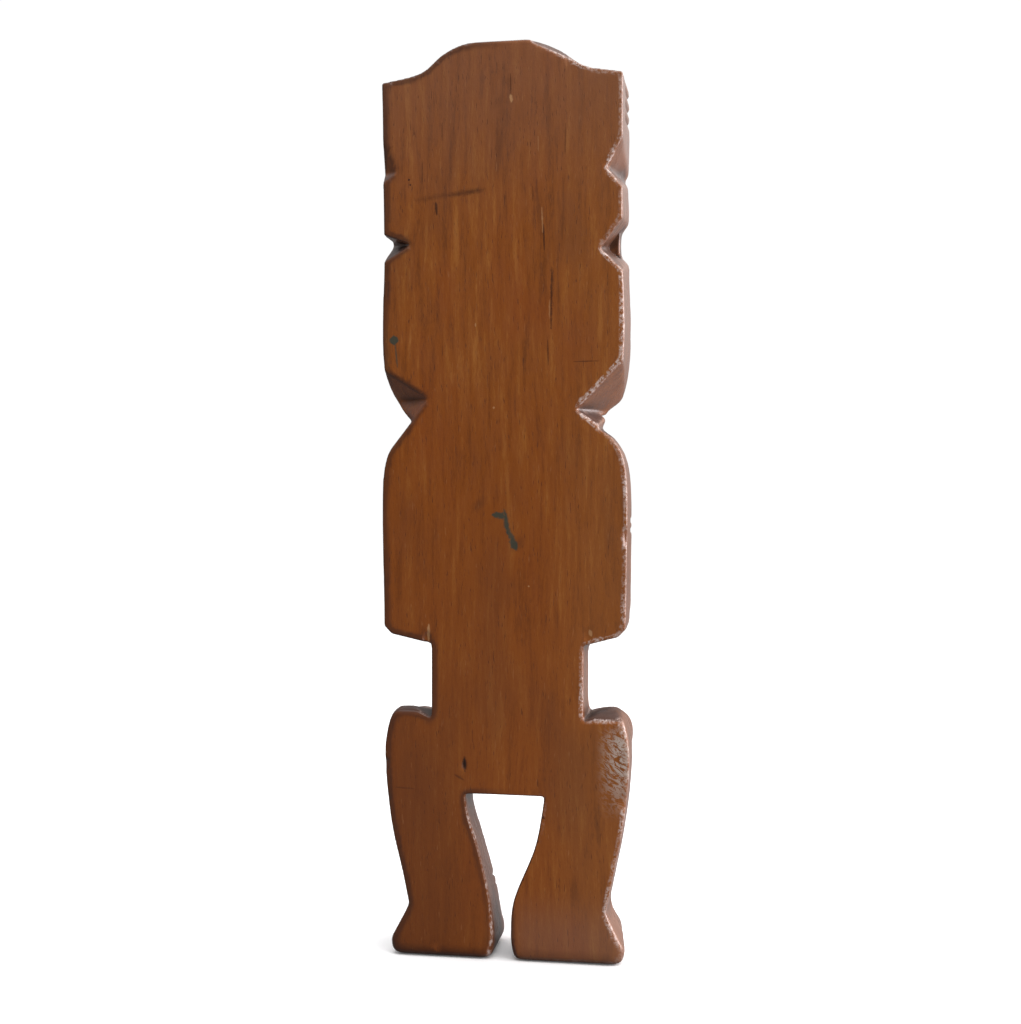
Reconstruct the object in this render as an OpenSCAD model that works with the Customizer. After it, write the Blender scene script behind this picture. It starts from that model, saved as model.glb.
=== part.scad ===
/* [Heights, stacked from the soles up] */
// Height of the legs, from the soles to the fork
leg_h = 54; // [45:1:65]
// Height of the hips, from the fork to the foot of the waist
hip_h = 25.5; // [21:0.5:31]
// Height of the waist, up to the elbows
waist_h = 23.5; // [20:0.5:30]
// Height of the arms and chest, from the elbows to the neck
arm_h = 71.5; // [59:0.5:86]
// Height of the head, from the neck to the crown
head_h = 125.5; // [104:0.5:151]

/* [Half widths, own left then own right] */
// Head, at its top corners
head_w = [40, 39.8]; // [33:0.2:48]
// Dome of the crown
dome_w = [27, 27]; // [22:0.5:32]
// Jaw, at its widest
jaw_w = [39.8, 40.2]; // [33:0.2:48]
// Neck, at the bottom of its notch
neck_w = [30, 31.6]; // [24:0.2:33]
// Height of that point above or below the neck
neck_shift = [1.6, -0.8]; // [-2:0.1:2]
// Shoulders and elbows
arm_w = [39.8, 41.2]; // [33:0.2:48]
// Waist
waist_w = [23.2, 27]; // [19:0.2:32]
// Knees and thighs
knee_w = [39, 41.8]; // [34:0.2:48]
// Ankles
ankle_w = [31, 34.2]; // [27:0.2:38]
// Feet, at their outer edge
foot_w = [37.8, 40.6]; // [34:0.2:47]
// Fork between the legs, at its top
fork_w = [11.9, 14.2]; // [10:0.1:17]
// Bow of the inner side of each leg
fork_bow = [0.2, 2.2]; // [0:0.1:3]
// Gap between the feet
gap_w = [2.6, 3]; // [2.2:0.1:3.6]

/* [Thickness, measured from the flat back] */
// Block, up to the nose, the mouth and the toes
block_t = 28; // [24:0.5:33]
// Crown, at its top edge
crown_t = 12; // [10:0.5:16]
// Brow band
brow_t = 27; // [25:0.5:30]
// Floor of the hollow round each eye
hollow_t = 20.5; // [18:0.5:22.5]
// Chin, below the lips
chin_t = 25.5; // [22:0.5:28]
// Neck
neck_t = 14; // [11:0.5:18]
// Chest
chest_t = 19; // [16:0.5:22]
// Belly
belly_t = 26.5; // [23:0.5:29]
// Radius of the belly
belly_r = 17; // [14:0.5:19]
// Arms
arm_t = 24; // [20:0.5:28]
// Thighs and knees
thigh_t = 26.5; // [22:0.5:29]
// Shins
shin_t = 20; // [17:0.5:23]

/* [Face] */
// Height of the brow above the neck, at the root of the nose
brow_z = 84; // [78:1:90]
// Rise of the brow from the nose to the temples
brow_rise = 12; // [8:0.5:15]
// Grooves on each brow
brow_grooves = 3; // [1:1:4]
// Spacing of the brow grooves
groove_pitch = 4.2; // [3:0.1:5]
// Width of the brow grooves
groove_w = 1.8; // [1:0.1:2.4]
// Height of the nostrils above the neck
nose_z = 62; // [58:1:66]
// Half width of the nose, at the root then at the nostrils
nose_w = [3.2, 10]; // [2:0.2:12]
// Height of the mouth above the neck
mouth_z = 37; // [32:1:42]
// Distance of each round mouth corner from the centre line
mouth_x = 17.5; // [14:0.5:21]
// Radius of the round mouth corners
mouth_r = 8.5; // [6:0.5:10]
// Floor of the mouth, from the flat back
mouth_t = 18.5; // [15:0.5:21]
// Half width of the tongue
tongue_w = 4.8; // [3:0.2:7]

/* [Eyes] */
// Distance of each eye from the centre line
eye_x = 19.5; // [17.5:0.5:22]
// Height of the eyes above the neck
eye_z = 74.5; // [72:0.5:77]
// Height of the carved rim round each eye, above its hollow
rim_h = 2.6; // [2:0.1:3.5]
// Width of the carved rim round each eye
rim_w = 2; // [1.4:0.1:2.6]
// Radius of the shell ring
shell_r = 7.6; // [6.5:0.1:8.4]
// Thickness of the shell ring
shell_t = 1.8; // [1.2:0.1:2.4]
// Radius of the pupil peg
pupil_r = 2.6; // [2:0.1:3.4]
// Length of the pupil peg that goes into the wood
pupil_in = 4; // [2:0.5:6]
// How far the pupil's round head stands above the shell
pupil_out = 0.8; // [0.4:0.1:1.2]
// Clearance round the inlays
fit = 0.06; // [0.02:0.01:0.12]

/* [Cuts in the edges of the back, own left then own right] */
// Depth of the cut below each temple
ear_cut = [5.4, 5.4]; // [3:0.2:7]
// Height of that cut above the neck, at its point
ear_z = [83.7, 82.8]; // [80:0.2:87]
// Depth of the cut beside the mouth
mouth_cut = [10, 7.8]; // [6:0.2:12]
// Height of that cut above the neck, at its point
corner_z = [59.8, 56.8]; // [54:0.2:63]
// Depth of the cut under the jaw, from the neck's edge
jaw_cut = [6.2, 7.2]; // [4:0.2:9]
// Height of that cut above the neck, at its point
jaw_z = [9, 5]; // [4:0.2:11]
// Drop of the bevel on top of each knee
knee_cut = [1.6, 3.2]; // [1:0.2:4]
// Fall of the top of each knee from the back to the front
knee_drop = [7, 2.6]; // [1:0.2:9]
// Turn of the outer side of each foot towards the toes, in degrees
foot_lean = 9; // [2:1:12]
// Slope of the bevel on the crown's right flank, in degrees
crown_slope = 26; // [20:1:32]
// Tilt of that bevel towards the front, in degrees
crown_tilt = 30; // [22:1:40]

/* [Hidden] */

$fn = 48;
LEFT = 0;
RIGHT = 1;
// Direction of each side along X: the figure's own left is +X
dir = [1, -1];
// Run of a cutting tool past the surface it cuts
past = 12;

// Heights above the soles
fork_h = leg_h;
waist_foot = fork_h + hip_h;
elbow_h = waist_foot + waist_h;
neck_h = elbow_h + arm_h;
top_h = neck_h + head_h;
eye_h = neck_h + eye_z;
// Height of the knees above the foot of the waist
knee_rise = 3;
knee_h = waist_foot + knee_rise;
// Drop of the head's top corners below the crown
corner_drop = 12;
// Height of the ankles and of the toes
ankle_h = 17;
toe_h = 6.5;
// Thickness over which the top of each knee is level
knee_flat = [1.5, 8];
// Steps of each curve between two of its points
steps = 4;

// Place of the centre line, so that the widest points stand evenly about X = 0
function widest(s) = max(head_w[s], jaw_w[s], arm_w[s], knee_w[s], foot_w[s]);
centre_x = (widest(RIGHT) - widest(LEFT)) / 2;

// Front of the rim round the eyes, and the floor of the shell's socket
rim_t = hollow_t + rim_h;
socket_t = rim_t - shell_t;

function blend(a, b, c, d, u) =
    0.5 * (2 * b + (c - a) * u + (2 * a - 5 * b + 4 * c - d) * u * u
           + (3 * b - a - 3 * c + d) * u * u * u);

// Smooth line through a list of points
function curve(p) = concat(
    [for (i = [0:len(p) - 2], k = [0:steps - 1])
        blend(p[max(i - 1, 0)], p[i], p[i + 1], p[min(i + 2, len(p) - 1)], k / steps)],
    [p[len(p) - 1]]
);

function backwards(p) = [for (i = [len(p) - 1:-1:0]) p[i]];

// Outline of one side, from the crown down to the fork
function side_outline(s) = concat(
    curve([
        [0, top_h],
        [0.42 * dome_w[s], top_h - 0.3],
        [0.72 * dome_w[s], top_h - 3.6],
        [dome_w[s], top_h - 9.4],
        [head_w[s], top_h - corner_drop]
    ]),
    curve([
        [jaw_w[s] - 0.6, neck_h + mouth_z + 16],
        [jaw_w[s], neck_h + mouth_z - 9],
        [jaw_w[s] - 1.6, neck_h + 13],
        [jaw_w[s] - 4.8, neck_h + 6 + 0.5 * neck_shift[s]],
        [neck_w[s], neck_h + neck_shift[s]]
    ]),
    curve([
        [neck_w[s] + 4.4, neck_h - 4],
        [arm_w[s] - 1.8, neck_h - 9.4],
        [arm_w[s] - 0.2, neck_h - 18],
        [arm_w[s], neck_h - 32]
    ]),
    [
        [arm_w[s] - 0.6, elbow_h + 5.6],
        [arm_w[s] - 3, elbow_h + 3],
        [waist_w[s], elbow_h],
        [waist_w[s], waist_foot - 1]
    ],
    curve([
        [waist_w[s] + 4.2, knee_h - 1.6],
        [knee_w[s] - 6, knee_h],
        [knee_w[s] - 1.6, knee_h - 4.4],
        [knee_w[s], knee_h - 17],
        [knee_w[s] - 2, fork_h - 9],
        [ankle_w[s] + 2.2, 28],
        [ankle_w[s], ankle_h]
    ]),
    [
        [foot_w[s] - 3.6, 11],
        [foot_w[s], 4.4],
        [foot_w[s] - 1.2, 0]
    ],
    curve([
        [gap_w[s] + 0.6, 0],
        [gap_w[s], 8],
        [gap_w[s] + 1.2, 20],
        [0.5 * (gap_w[s] + fork_w[s]) + fork_bow[s], 0.67 * fork_h],
        [fork_w[s] - 1, fork_h - 7],
        [fork_w[s], fork_h]
    ])
);

// Side view of the front of the head, from the neck up to the crown
function head_profile() = concat(
    [[neck_t, neck_h + 3]],
    curve([
        [neck_t + 6, neck_h + 4],
        [chin_t - 1, neck_h + 10],
        [chin_t, neck_h + 18],
        [block_t - 1, neck_h + mouth_z - 8],
        [block_t - 0.4, neck_h + mouth_z + 8],
        [block_t, neck_h + nose_z - 4],
        [brow_t - 1.6, neck_h + brow_z - 7],
        [brow_t, neck_h + brow_z + 4],
        [brow_t - 0.8, top_h - 22],
        [0.5 * (brow_t + crown_t) + 1.5, top_h - 5],
        [crown_t, top_h]
    ])
);

// Side view of the front of the body, from the soles up to the neck
function body_profile() = concat(
    curve([
        [block_t - 1.4, 0],
        [block_t, 2.6],
        [block_t - 1.4, toe_h],
        [shin_t + 1, ankle_h - 5.5],
        [shin_t - 1.5, ankle_h + 3],
        [shin_t - 5, fork_h - 8],
        [shin_t - 3, waist_foot - 12],
        [chest_t - 1, waist_foot + 6],
        [chest_t, elbow_h + 12],
        [chest_t + 1, elbow_h + 34],
        [chest_t, neck_h - 12]
    ]),
    [[neck_t, neck_h - 3]]
);

// Solid with its outline seen from the front, between two thicknesses
module slab(t0, t1) {
    translate([0, block_t / 2 - t0, 0])
        rotate([90, 0, 0])
            linear_extrude(t1 - t0)
                children();
}

// Solid with its outline seen from the side: thickness across, height up
module sideways(width) {
    translate([0, block_t / 2, 0])
        rotate([90, 0, -90])
            linear_extrude(width, center = true)
                children();
}

// Half circle round a point, from the given direction on
function round_end(middle, r, from) =
    [for (k = [0:8]) middle + r * [cos(from + 22.5 * k), sin(from + 22.5 * k)]];

// Flat bar with round ends
module bar(p, q, r) {
    run = atan2(q[1] - p[1], q[0] - p[0]);
    polygon(concat(round_end(q, r, run - 90), round_end(p, r, run + 90)));
}

// Moves what is drawn about the centre line to its place
module placed() {
    translate([centre_x, 0, 0])
        children();
}

// Everything inside the sawn outline
module sawn_outline() {
    slab(0, block_t)
        polygon(concat(
            side_outline(LEFT),
            [for (p = backwards(side_outline(RIGHT))) [-p[0], p[1]]]
        ));
}

// Block cut to its side view, before the relief is raised on it
module stepped_block() {
    sideways(3 * head_w[LEFT])
        polygon(concat(
            [[0, 0]],
            body_profile(),
            head_profile(),
            [[0, top_h]]
        ));
}

module arm(s) {
    elbow = [dir[s] * (arm_w[s] - 8), elbow_h + 12];
    slab(1, arm_t)
        bar([dir[s] * (arm_w[s] - 9), neck_h - 20], elbow, 7.6);
    slab(1, arm_t + 1)
        bar(elbow, [dir[s] * 12, elbow_h + 24], 6.8);
}

module thigh(s) {
    slab(1, thigh_t)
        bar([dir[s] * (fork_w[s] + 6), fork_h + 6], [dir[s] * (knee_w[s] - 8.6), knee_h - 10], 8.6);
}

module shin(s) {
    slab(1, shin_t + 1.6)
        bar([dir[s] * (knee_w[s] - 11), fork_h + 4], [dir[s] * (ankle_w[s] - 13), ankle_h], 8.4);
}

// Round belly, crowned from top to bottom
module belly() {
    middle = elbow_h + 6;
    intersection() {
        slab(1, block_t)
            translate([0, middle])
                circle(belly_r);
        sideways(3 * belly_r)
            polygon(concat(
                [[0, middle - belly_r - 1]],
                curve([
                    [chest_t - 1.5, middle - belly_r - 1],
                    [belly_t - 1.4, middle - 0.6 * belly_r],
                    [belly_t, middle],
                    [belly_t - 1.4, middle + 0.6 * belly_r],
                    [chest_t - 1.5, middle + belly_r + 1]
                ]),
                [[0, middle + belly_r + 1]]
            ));
    }
}

// Hollow under the brow, between the nose and the cheek's rim
module eye_hollow(s) {
    rim_x = head_w[s] - 6;
    slab(hollow_t, block_t + past)
        scale([dir[s], 1])
            polygon([
                [nose_w[0], neck_h + brow_z],
                [nose_w[1], neck_h + nose_z],
                [rim_x, neck_h + nose_z - 2],
                [rim_x, neck_h + brow_z + brow_rise - 3]
            ]);
}

module eye_rim(s) {
    slab(hollow_t - 1, rim_t)
        translate([dir[s] * eye_x, eye_h])
            circle(shell_r + rim_w);
}

// Round seat of the shell ring, and the hole for the pupil's peg below it
module eye_socket(s) {
    slab(socket_t, block_t + past)
        translate([dir[s] * eye_x, eye_h])
            circle(shell_r + fit);
    slab(socket_t - pupil_in, block_t)
        translate([dir[s] * eye_x, eye_h])
            circle(pupil_r + fit);
}

module brow_groove(s, n) {
    run = head_w[s] + past;
    lean = atan2(brow_rise, head_w[s]);
    translate([dir[s] * 4, block_t / 2 - brow_t, neck_h + brow_z + 8 + n * groove_pitch])
        rotate([0, -dir[s] * lean, 0])
            translate([dir[s] * run / 2, 0, 0])
                rotate([45, 0, 0])
                    cube([run, groove_w, groove_w], center = true);
}

module mouth_opening() {
    difference() {
        slab(mouth_t, block_t + past) {
            for (s = [LEFT, RIGHT])
                translate([dir[s] * mouth_x, neck_h + mouth_z])
                    circle(mouth_r);
            translate([-mouth_x, neck_h + mouth_z - 6])
                square([2 * mouth_x, 9]);
        }
        slab(mouth_t - 1, chin_t)
            bar([0, neck_h + mouth_z - 8], [0, neck_h + mouth_z], tongue_w);
    }
}

// Hollow between the chest and the arm
module armpit(s) {
    slab(neck_t - 1, block_t + past)
        scale([dir[s], 1])
            polygon([
                [arm_w[s] - 18, neck_h - 16],
                [arm_w[s] - 17, elbow_h + 29],
                [arm_w[s] - 21, elbow_h + 32]
            ]);
}

// Slots between the fingers of one hand
module finger_slots(s) {
    for (n = [-1, 1])
        translate([dir[s] * 9, block_t / 2 - arm_t, elbow_h + 24 + n * 2.3])
            rotate([45, 0, 0])
                cube([14, 1.6, 1.6], center = true);
}

// Slots between the toes of one foot
module toe_slots(s) {
    pitch = (foot_w[s] - gap_w[s]) / 4;
    for (n = [1:3])
        translate([dir[s] * (gap_w[s] + n * pitch), -block_t / 2, 0])
            rotate([0, 0, 45])
                cube([2.2, 2.2, 2.6 * toe_h], center = true);
}

// Notch cut into an edge from behind. On its way to the front its point leans
// out of the block and rises. up and down are the slopes of its two faces.
module edge_notch(s, tip, lean, rise, up, down) {
    reach = 40;
    across = reach * cos(lean);
    translate([dir[s] * tip[0], block_t / 2, tip[1]])
        rotate([0, 0, dir[s] * lean])
            rotate([90 - rise, 0, 0])
                translate([0, 0, -past])
                    linear_extrude(block_t + 2 * past)
                        polygon([
                            [0, 0],
                            [dir[s] * across, reach * up],
                            [dir[s] * across, -reach * down]
                        ]);
}

// Shallow facet on the left, cut right through on the right
module ear_notch(s) {
    edge_notch(
        s,
        [head_w[s] - ear_cut[s], neck_h + ear_z[s]],
        [60, 9][s],
        0,
        [2.3, 1.9][s],
        [0.7, 1.2][s]
    );
}

module mouth_notch(s) {
    edge_notch(
        s,
        [jaw_w[s] - mouth_cut[s], neck_h + corner_z[s]],
        [35, 3][s],
        9,
        [0.27, 1.3][s],
        [0.68, 1][s]
    );
}

// Facet under the jaw, which ends at the neck
module jaw_notch(s) {
    intersection() {
        edge_notch(
            s,
            [neck_w[s] - jaw_cut[s], neck_h + jaw_z[s]],
            [62, 22][s],
            0,
            [0.63, 1.05][s],
            [1.4, 0.72][s]
        );
        translate([0, 0, neck_h + neck_shift[s] + past - 0.6])
            cube([4 * head_w[s], 2 * block_t, 2 * past], center = true);
    }
}

// Bevel on the back edge of the crown's right flank
module crown_bevel() {
    run = dome_w[RIGHT] - 4;
    translate([-0.36 * dome_w[RIGHT], block_t / 2, top_h - 1])
        rotate([0, -crown_slope, 0])
            rotate([-crown_tilt, 0, 0])
                translate([-run / 2, 0, past / 2])
                    cube([run, 2 * block_t, past], center = true);
}

// Bevel on the back edge of each knee
module knee_bevel(s) {
    deep = 3 * knee_cut[s];
    beside_waist(s)
        polygon([
            [-1, knee_h - knee_cut[s] - knee_cut[s] / deep],
            [deep, knee_h],
            [deep, knee_h + past],
            [-1, knee_h + past]
        ]);
}

// Fall of the top of each knee towards the front
module knee_fall(s) {
    beside_waist(s)
        polygon([
            [knee_flat[s], knee_h + 0.5],
            [block_t + 1, knee_h - knee_drop[s]],
            [block_t + 1, knee_h + past],
            [knee_flat[s], knee_h + past]
        ]);
}

// Side view that cuts only what is outside the waist, on one side
module beside_waist(s) {
    intersection() {
        sideways(4 * head_w[s])
            children();
        translate([dir[s] * (waist_w[s] + 0.6 + 2 * past), 0, knee_h])
            cube([4 * past, 2 * block_t, 3 * past], center = true);
    }
}

// The outer side of each foot comes in towards the toes
module foot_draft(s) {
    translate([dir[s] * (foot_w[s] + 0.4), block_t / 2, 0])
        rotate([0, 0, -dir[s] * foot_lean])
            translate([dir[s] * past / 2, 0, 0])
                cube([past, 3 * block_t, 2 * ankle_h + 4], center = true);
}

module carved_figure() {
    color("saddlebrown")
        placed() difference() {
            intersection() {
                sawn_outline();
                union() {
                    difference() {
                        stepped_block();
                        for (s = [LEFT, RIGHT])
                            eye_hollow(s);
                    }
                    belly();
                    for (s = [LEFT, RIGHT]) {
                        arm(s);
                        thigh(s);
                        shin(s);
                        eye_rim(s);
                    }
                }
            }
            mouth_opening();
            crown_bevel();
            for (s = [LEFT, RIGHT]) {
                eye_socket(s);
                armpit(s);
                finger_slots(s);
                toe_slots(s);
                ear_notch(s);
                mouth_notch(s);
                jaw_notch(s);
                knee_bevel(s);
                knee_fall(s);
                foot_draft(s);
                for (n = [0:brow_grooves - 1])
                    brow_groove(s, n);
            }
        }
}

// Flat ring of shell, seated on the floor of its socket
module eye_shell(s) {
    color("mediumaquamarine")
        placed() difference() {
            slab(socket_t, rim_t)
                translate([dir[s] * eye_x, eye_h])
                    circle(shell_r);
            slab(socket_t - 1, rim_t + 1)
                translate([dir[s] * eye_x, eye_h])
                    circle(pupil_r + fit);
        }
}

// Peg through the ring into the wood, with a low round head
module eye_pupil(s) {
    head_r = (pupil_r * pupil_r + pupil_out * pupil_out) / (2 * pupil_out);
    stem = shell_t + pupil_in;
    color("black")
        placed() translate([dir[s] * eye_x, block_t / 2 - socket_t + pupil_in, eye_h])
            rotate([90, 0, 0]) {
                cylinder(h = stem, r = pupil_r);
                intersection() {
                    translate([0, 0, stem + pupil_out - head_r])
                        sphere(head_r);
                    cylinder(h = stem + pupil_out, r = pupil_r);
                }
            }
}

carved_figure();
eye_shell(LEFT);  // left_eye_shell
eye_shell(RIGHT);  // right_eye_shell
eye_pupil(LEFT);  // left_eye_pupil
eye_pupil(RIGHT);  // right_eye_pupil
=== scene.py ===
# Carved wooden figure with a flat back: the finished look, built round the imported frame.
# The wood is carved in a grid of signed distances, in millimetres, and then meshed.
import math

import bmesh
import bpy
import numpy as np
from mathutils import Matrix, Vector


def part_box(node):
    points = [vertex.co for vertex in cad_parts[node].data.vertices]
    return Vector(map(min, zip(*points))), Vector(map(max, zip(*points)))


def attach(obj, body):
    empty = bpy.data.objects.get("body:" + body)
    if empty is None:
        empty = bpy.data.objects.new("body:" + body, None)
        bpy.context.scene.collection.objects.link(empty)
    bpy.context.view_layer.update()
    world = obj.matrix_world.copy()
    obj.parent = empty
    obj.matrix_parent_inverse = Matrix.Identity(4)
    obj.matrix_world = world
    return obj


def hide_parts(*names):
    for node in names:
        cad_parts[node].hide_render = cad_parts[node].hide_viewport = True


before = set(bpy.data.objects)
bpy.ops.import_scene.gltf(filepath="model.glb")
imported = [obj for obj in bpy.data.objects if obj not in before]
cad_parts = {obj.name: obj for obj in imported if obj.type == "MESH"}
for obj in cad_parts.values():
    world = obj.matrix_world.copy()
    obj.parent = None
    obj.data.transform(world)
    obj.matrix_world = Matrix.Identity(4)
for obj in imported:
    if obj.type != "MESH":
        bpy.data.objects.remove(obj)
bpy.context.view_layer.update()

import openvdb as vdb
from bpy.props import FloatProperty, FloatVectorProperty, IntProperty, PointerProperty
from mathutils import Vector

bl_info = {
    "name": "Carved figure",
    "version": (1, 0, 0),
    "blender": (4, 5, 0),
    "location": "View3D > Sidebar > Carved figure",
    "description": "Flat-backed carved wooden figure with inlaid eyes",
    "category": "Object",
}

MM = 0.001
LEFT, RIGHT = 1, -1
SIDES = (LEFT, RIGHT)
PANEL_TAB = "Carved figure"
COARSENESS = (0.01, 0.015, 0.02, 0.03, 0.045, 0.07, 0.1, 0.15, 0.25, 0.4)  # tried in this order

# Places on the figure, in millimetres. Thickness is measured from the flat back.
BACK_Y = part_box("carved_figure")[1][1] / MM
SHELL_LOW, SHELL_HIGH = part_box("left_eye_shell")
EYE_LEFT = 0.5 * (SHELL_LOW[0] + SHELL_HIGH[0]) / MM
EYE_RIGHT = 0.5 * sum(corner[0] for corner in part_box("right_eye_shell")) / MM
CENTRE_X = 0.5 * (EYE_LEFT + EYE_RIGHT)
EYE_X = 0.5 * (EYE_LEFT - EYE_RIGHT)
EYE_Z = 0.5 * (SHELL_LOW[2] + SHELL_HIGH[2]) / MM
SHELL_R = 0.5 * (SHELL_HIGH[0] - SHELL_LOW[0]) / MM
SHELL_FRONT, SHELL_SEAT = SHELL_LOW[1] / MM, SHELL_HIGH[1] / MM
MOUTH_X, MOUTH_Z, MOUTH_R = 17.5, 211.5, 8.5
HAND_Z = 127.0
BELLY_Z, BELLY_R = 109.0, 17.6
NAVEL_Z = BELLY_Z - 3.0
JAW_LOW, JAW_HIGH = 170.0, 198.0

# The camera: lens, sensor and height of its aim in millimetres, its shift, and its sight in metres
LENS, SENSOR, AIM_Z = 51.38, 36.0, 150.0
SHIFT = (0.0095, -0.0111)
SIGHT = 50.0


# ---------------------------------------------------------------- sizes and colours
class FigureSizes(bpy.types.PropertyGroup):
    grid: FloatProperty(
        name="Grid", description="Spacing of the grid the wood is carved in, in millimetres",
        default=0.4, min=0.3, max=0.8)
    back_round: FloatProperty(
        name="Back edges", description="Softness of the edges of the flat back, in millimetres",
        default=0.2, min=0.1, max=1.0)
    face_round: FloatProperty(
        name="Face edges", description="Softness of the edges of the face, in millimetres",
        default=0.75, min=0.2, max=2.0)
    limb_round: FloatProperty(
        name="Limb edges", description="Softness of the edges of the arms and legs, in millimetres",
        default=1.5, min=0.2, max=3.0)
    sole_round: FloatProperty(
        name="Sole edges", description="Softness of the worn corners of the soles, in millimetres",
        default=1.4, min=0.2, max=3.0)
    line_depth: FloatProperty(
        name="Line depth", description="Depth of the decorative lines, in millimetres",
        default=0.9, min=0.2, max=1.6)
    tool_marks: FloatProperty(
        name="Tool marks", description="Depth of the shallow marks of the knife, in millimetres",
        default=0.16, min=0.0, max=0.5)
    most_faces: IntProperty(
        name="Most faces", description="Largest number of faces in the carved wood",
        default=185000, min=20000, max=195000)
    seed: IntProperty(name="Seed", description="Seed of the hand-made unevenness", default=7)


class FinishColours(bpy.types.PropertyGroup):
    wood_mid: FloatVectorProperty(
        name="Wood", description="Main colour of the varnished wood", subtype="COLOR",
        size=4, default=(0.292, 0.083, 0.0135, 1.0), min=0, max=1)
    wood_dark: FloatVectorProperty(
        name="Dark streaks", description="Colour of the dull dark streaks", subtype="COLOR",
        size=4, default=(0.162, 0.046, 0.0100, 1.0), min=0, max=1)
    wood_light: FloatVectorProperty(
        name="Light streaks", description="Colour of the yellowish light streaks", subtype="COLOR",
        size=4, default=(0.405, 0.146, 0.029, 1.0), min=0, max=1)
    raw_wood: FloatVectorProperty(
        name="Bare wood", description="Colour of wood bared by a chip", subtype="COLOR",
        size=4, default=(0.52, 0.27, 0.12, 1.0), min=0, max=1)
    paint_spot: FloatVectorProperty(
        name="Paint spots", description="Colour of the old drops of green paint", subtype="COLOR",
        size=4, default=(0.030, 0.058, 0.046, 1.0), min=0, max=1)


class StudioSizes(bpy.types.PropertyGroup):
    floor_size: FloatProperty(
        name="Floor", description="Side of the floor", default=12.0, unit="LENGTH")
    distance: FloatProperty(
        name="Camera distance", description="From the camera to the flat back",
        default=0.476, unit="LENGTH")
    turn: FloatProperty(
        name="Camera turn", description="Turn of the camera from straight behind",
        default=math.radians(10.0), subtype="ANGLE")
    key_power: FloatProperty(
        name="Key light", description="Power of the large light beside the camera",
        default=4.0, unit="POWER")
    top_power: FloatProperty(
        name="Top light", description="Power of the light overhead", default=8.5, unit="POWER")
    window_power: FloatProperty(
        name="Window light", description="Power of the light that glances off the right side",
        default=17.0, unit="POWER")


# ---------------------------------------------------------------- carving
def soft_step(low, high, value):
    """Smooth step from 0 at low to 1 at high."""
    t = np.clip((value - low) / (high - low), 0.0, 1.0)
    return t * t * (3.0 - 2.0 * t)


def soft_min(a, b, reach):
    """The smaller of two distances, blended where they are within reach of each other."""
    h = np.maximum(reach - np.abs(a - b), 0.0) / reach
    return np.minimum(a, b) - 0.25 * reach * h * h


def soft_max(a, b, reach):
    """The larger of two distances, blended in the same way."""
    return -soft_min(-a, -b, reach)


def smoothed(grid, sigma):
    """The grid after a Gaussian blur of sigma cells."""
    reach = int(math.ceil(3 * sigma))
    weights = np.exp(-0.5 * (np.arange(-reach, reach + 1) / sigma) ** 2)
    weights = (weights / weights.sum()).astype(np.float32)
    for axis in range(3):
        padding = [(0, 0)] * 3
        padding[axis] = (reach, reach)
        padded = np.pad(grid, padding, mode="edge")
        total = np.zeros_like(grid)
        for step, weight in enumerate(weights):
            cut = [slice(None)] * 3
            cut[axis] = slice(step, step + grid.shape[axis])
            total += weight * padded[tuple(cut)]
        grid = total
    return grid


def spline_rows(count, cell):
    """Weights that draw a smooth curve of count points through random values cell points apart."""
    where = np.arange(count) / cell
    first = np.floor(where).astype(int)
    t = where - first
    rows = np.zeros((count, first.max() + 4), np.float32)
    parts = (
        (1 - t) ** 3 / 6,
        (3 * t ** 3 - 6 * t ** 2 + 4) / 6,
        (-3 * t ** 3 + 3 * t ** 2 + 3 * t + 1) / 6,
        t ** 3 / 6,
    )
    for offset, part in enumerate(parts):
        rows[np.arange(count), first + offset] = part
    return rows


def uneven(random, shape, cells):
    """Smooth random values of about -1 to 1, with bumps of the given size in grid cells."""
    rows = [spline_rows(n, max(c, 1.0)) for n, c in zip(shape, cells)]
    values = random.uniform(-2.4, 2.4, [r.shape[1] for r in rows]).astype(np.float32)
    values = np.einsum("ai,ijk->ajk", rows[0], values, optimize=True)
    values = np.einsum("bj,ajk->abk", rows[1], values, optimize=True)
    return np.einsum("ck,abk->abc", rows[2], values, optimize=True)


def rod(x, y, z, start, end, r0, r1):
    """Distance from a straight rod with round ends, whose radius runs from r0 to r1."""
    run = [b - a for a, b in zip(start, end)]
    away = [v - a for v, a in zip((x, y, z), start)]
    length = sum(v * v for v in run)
    t = np.clip(sum(a * b for a, b in zip(away, run)) / length, 0.0, 1.0)
    gap = np.sqrt(sum((a - t * b) ** 2 for a, b in zip(away, run)))
    return gap - (r0 + (r1 - r0) * t)


def egg(x, y, z, middle, radii):
    """Distance from an ellipsoid, good close to its surface."""
    p = [(v - m) for v, m in zip((x, y, z), middle)]
    k0 = np.sqrt(sum((v / r) ** 2 for v, r in zip(p, radii)))
    k1 = np.sqrt(sum((v / (r * r)) ** 2 for v, r in zip(p, radii))) + 1e-6
    return k0 * (k0 - 1.0) / k1


def line_gap(x, z, points):
    """Distance in the face's plane from a line through the points."""
    best = None
    for (ax, az), (bx, bz) in zip(points, points[1:]):
        rx, rz = bx - ax, bz - az
        t = np.clip(((x - ax) * rx + (z - az) * rz) / (rx * rx + rz * rz + 1e-9), 0.0, 1.0)
        gap = np.hypot(x - ax - t * rx, z - az - t * rz)
        best = gap if best is None else np.minimum(best, gap)
    return best


def arc(middle, radius, start, end, steps=14, squash=1.0):
    """Points along an arc, from one angle to the other, in degrees."""
    turn = [math.radians(start + (end - start) * i / steps) for i in range(steps + 1)]
    return [(middle[0] + radius * math.cos(a), middle[1] + squash * radius * math.sin(a)) for a in turn]


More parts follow.
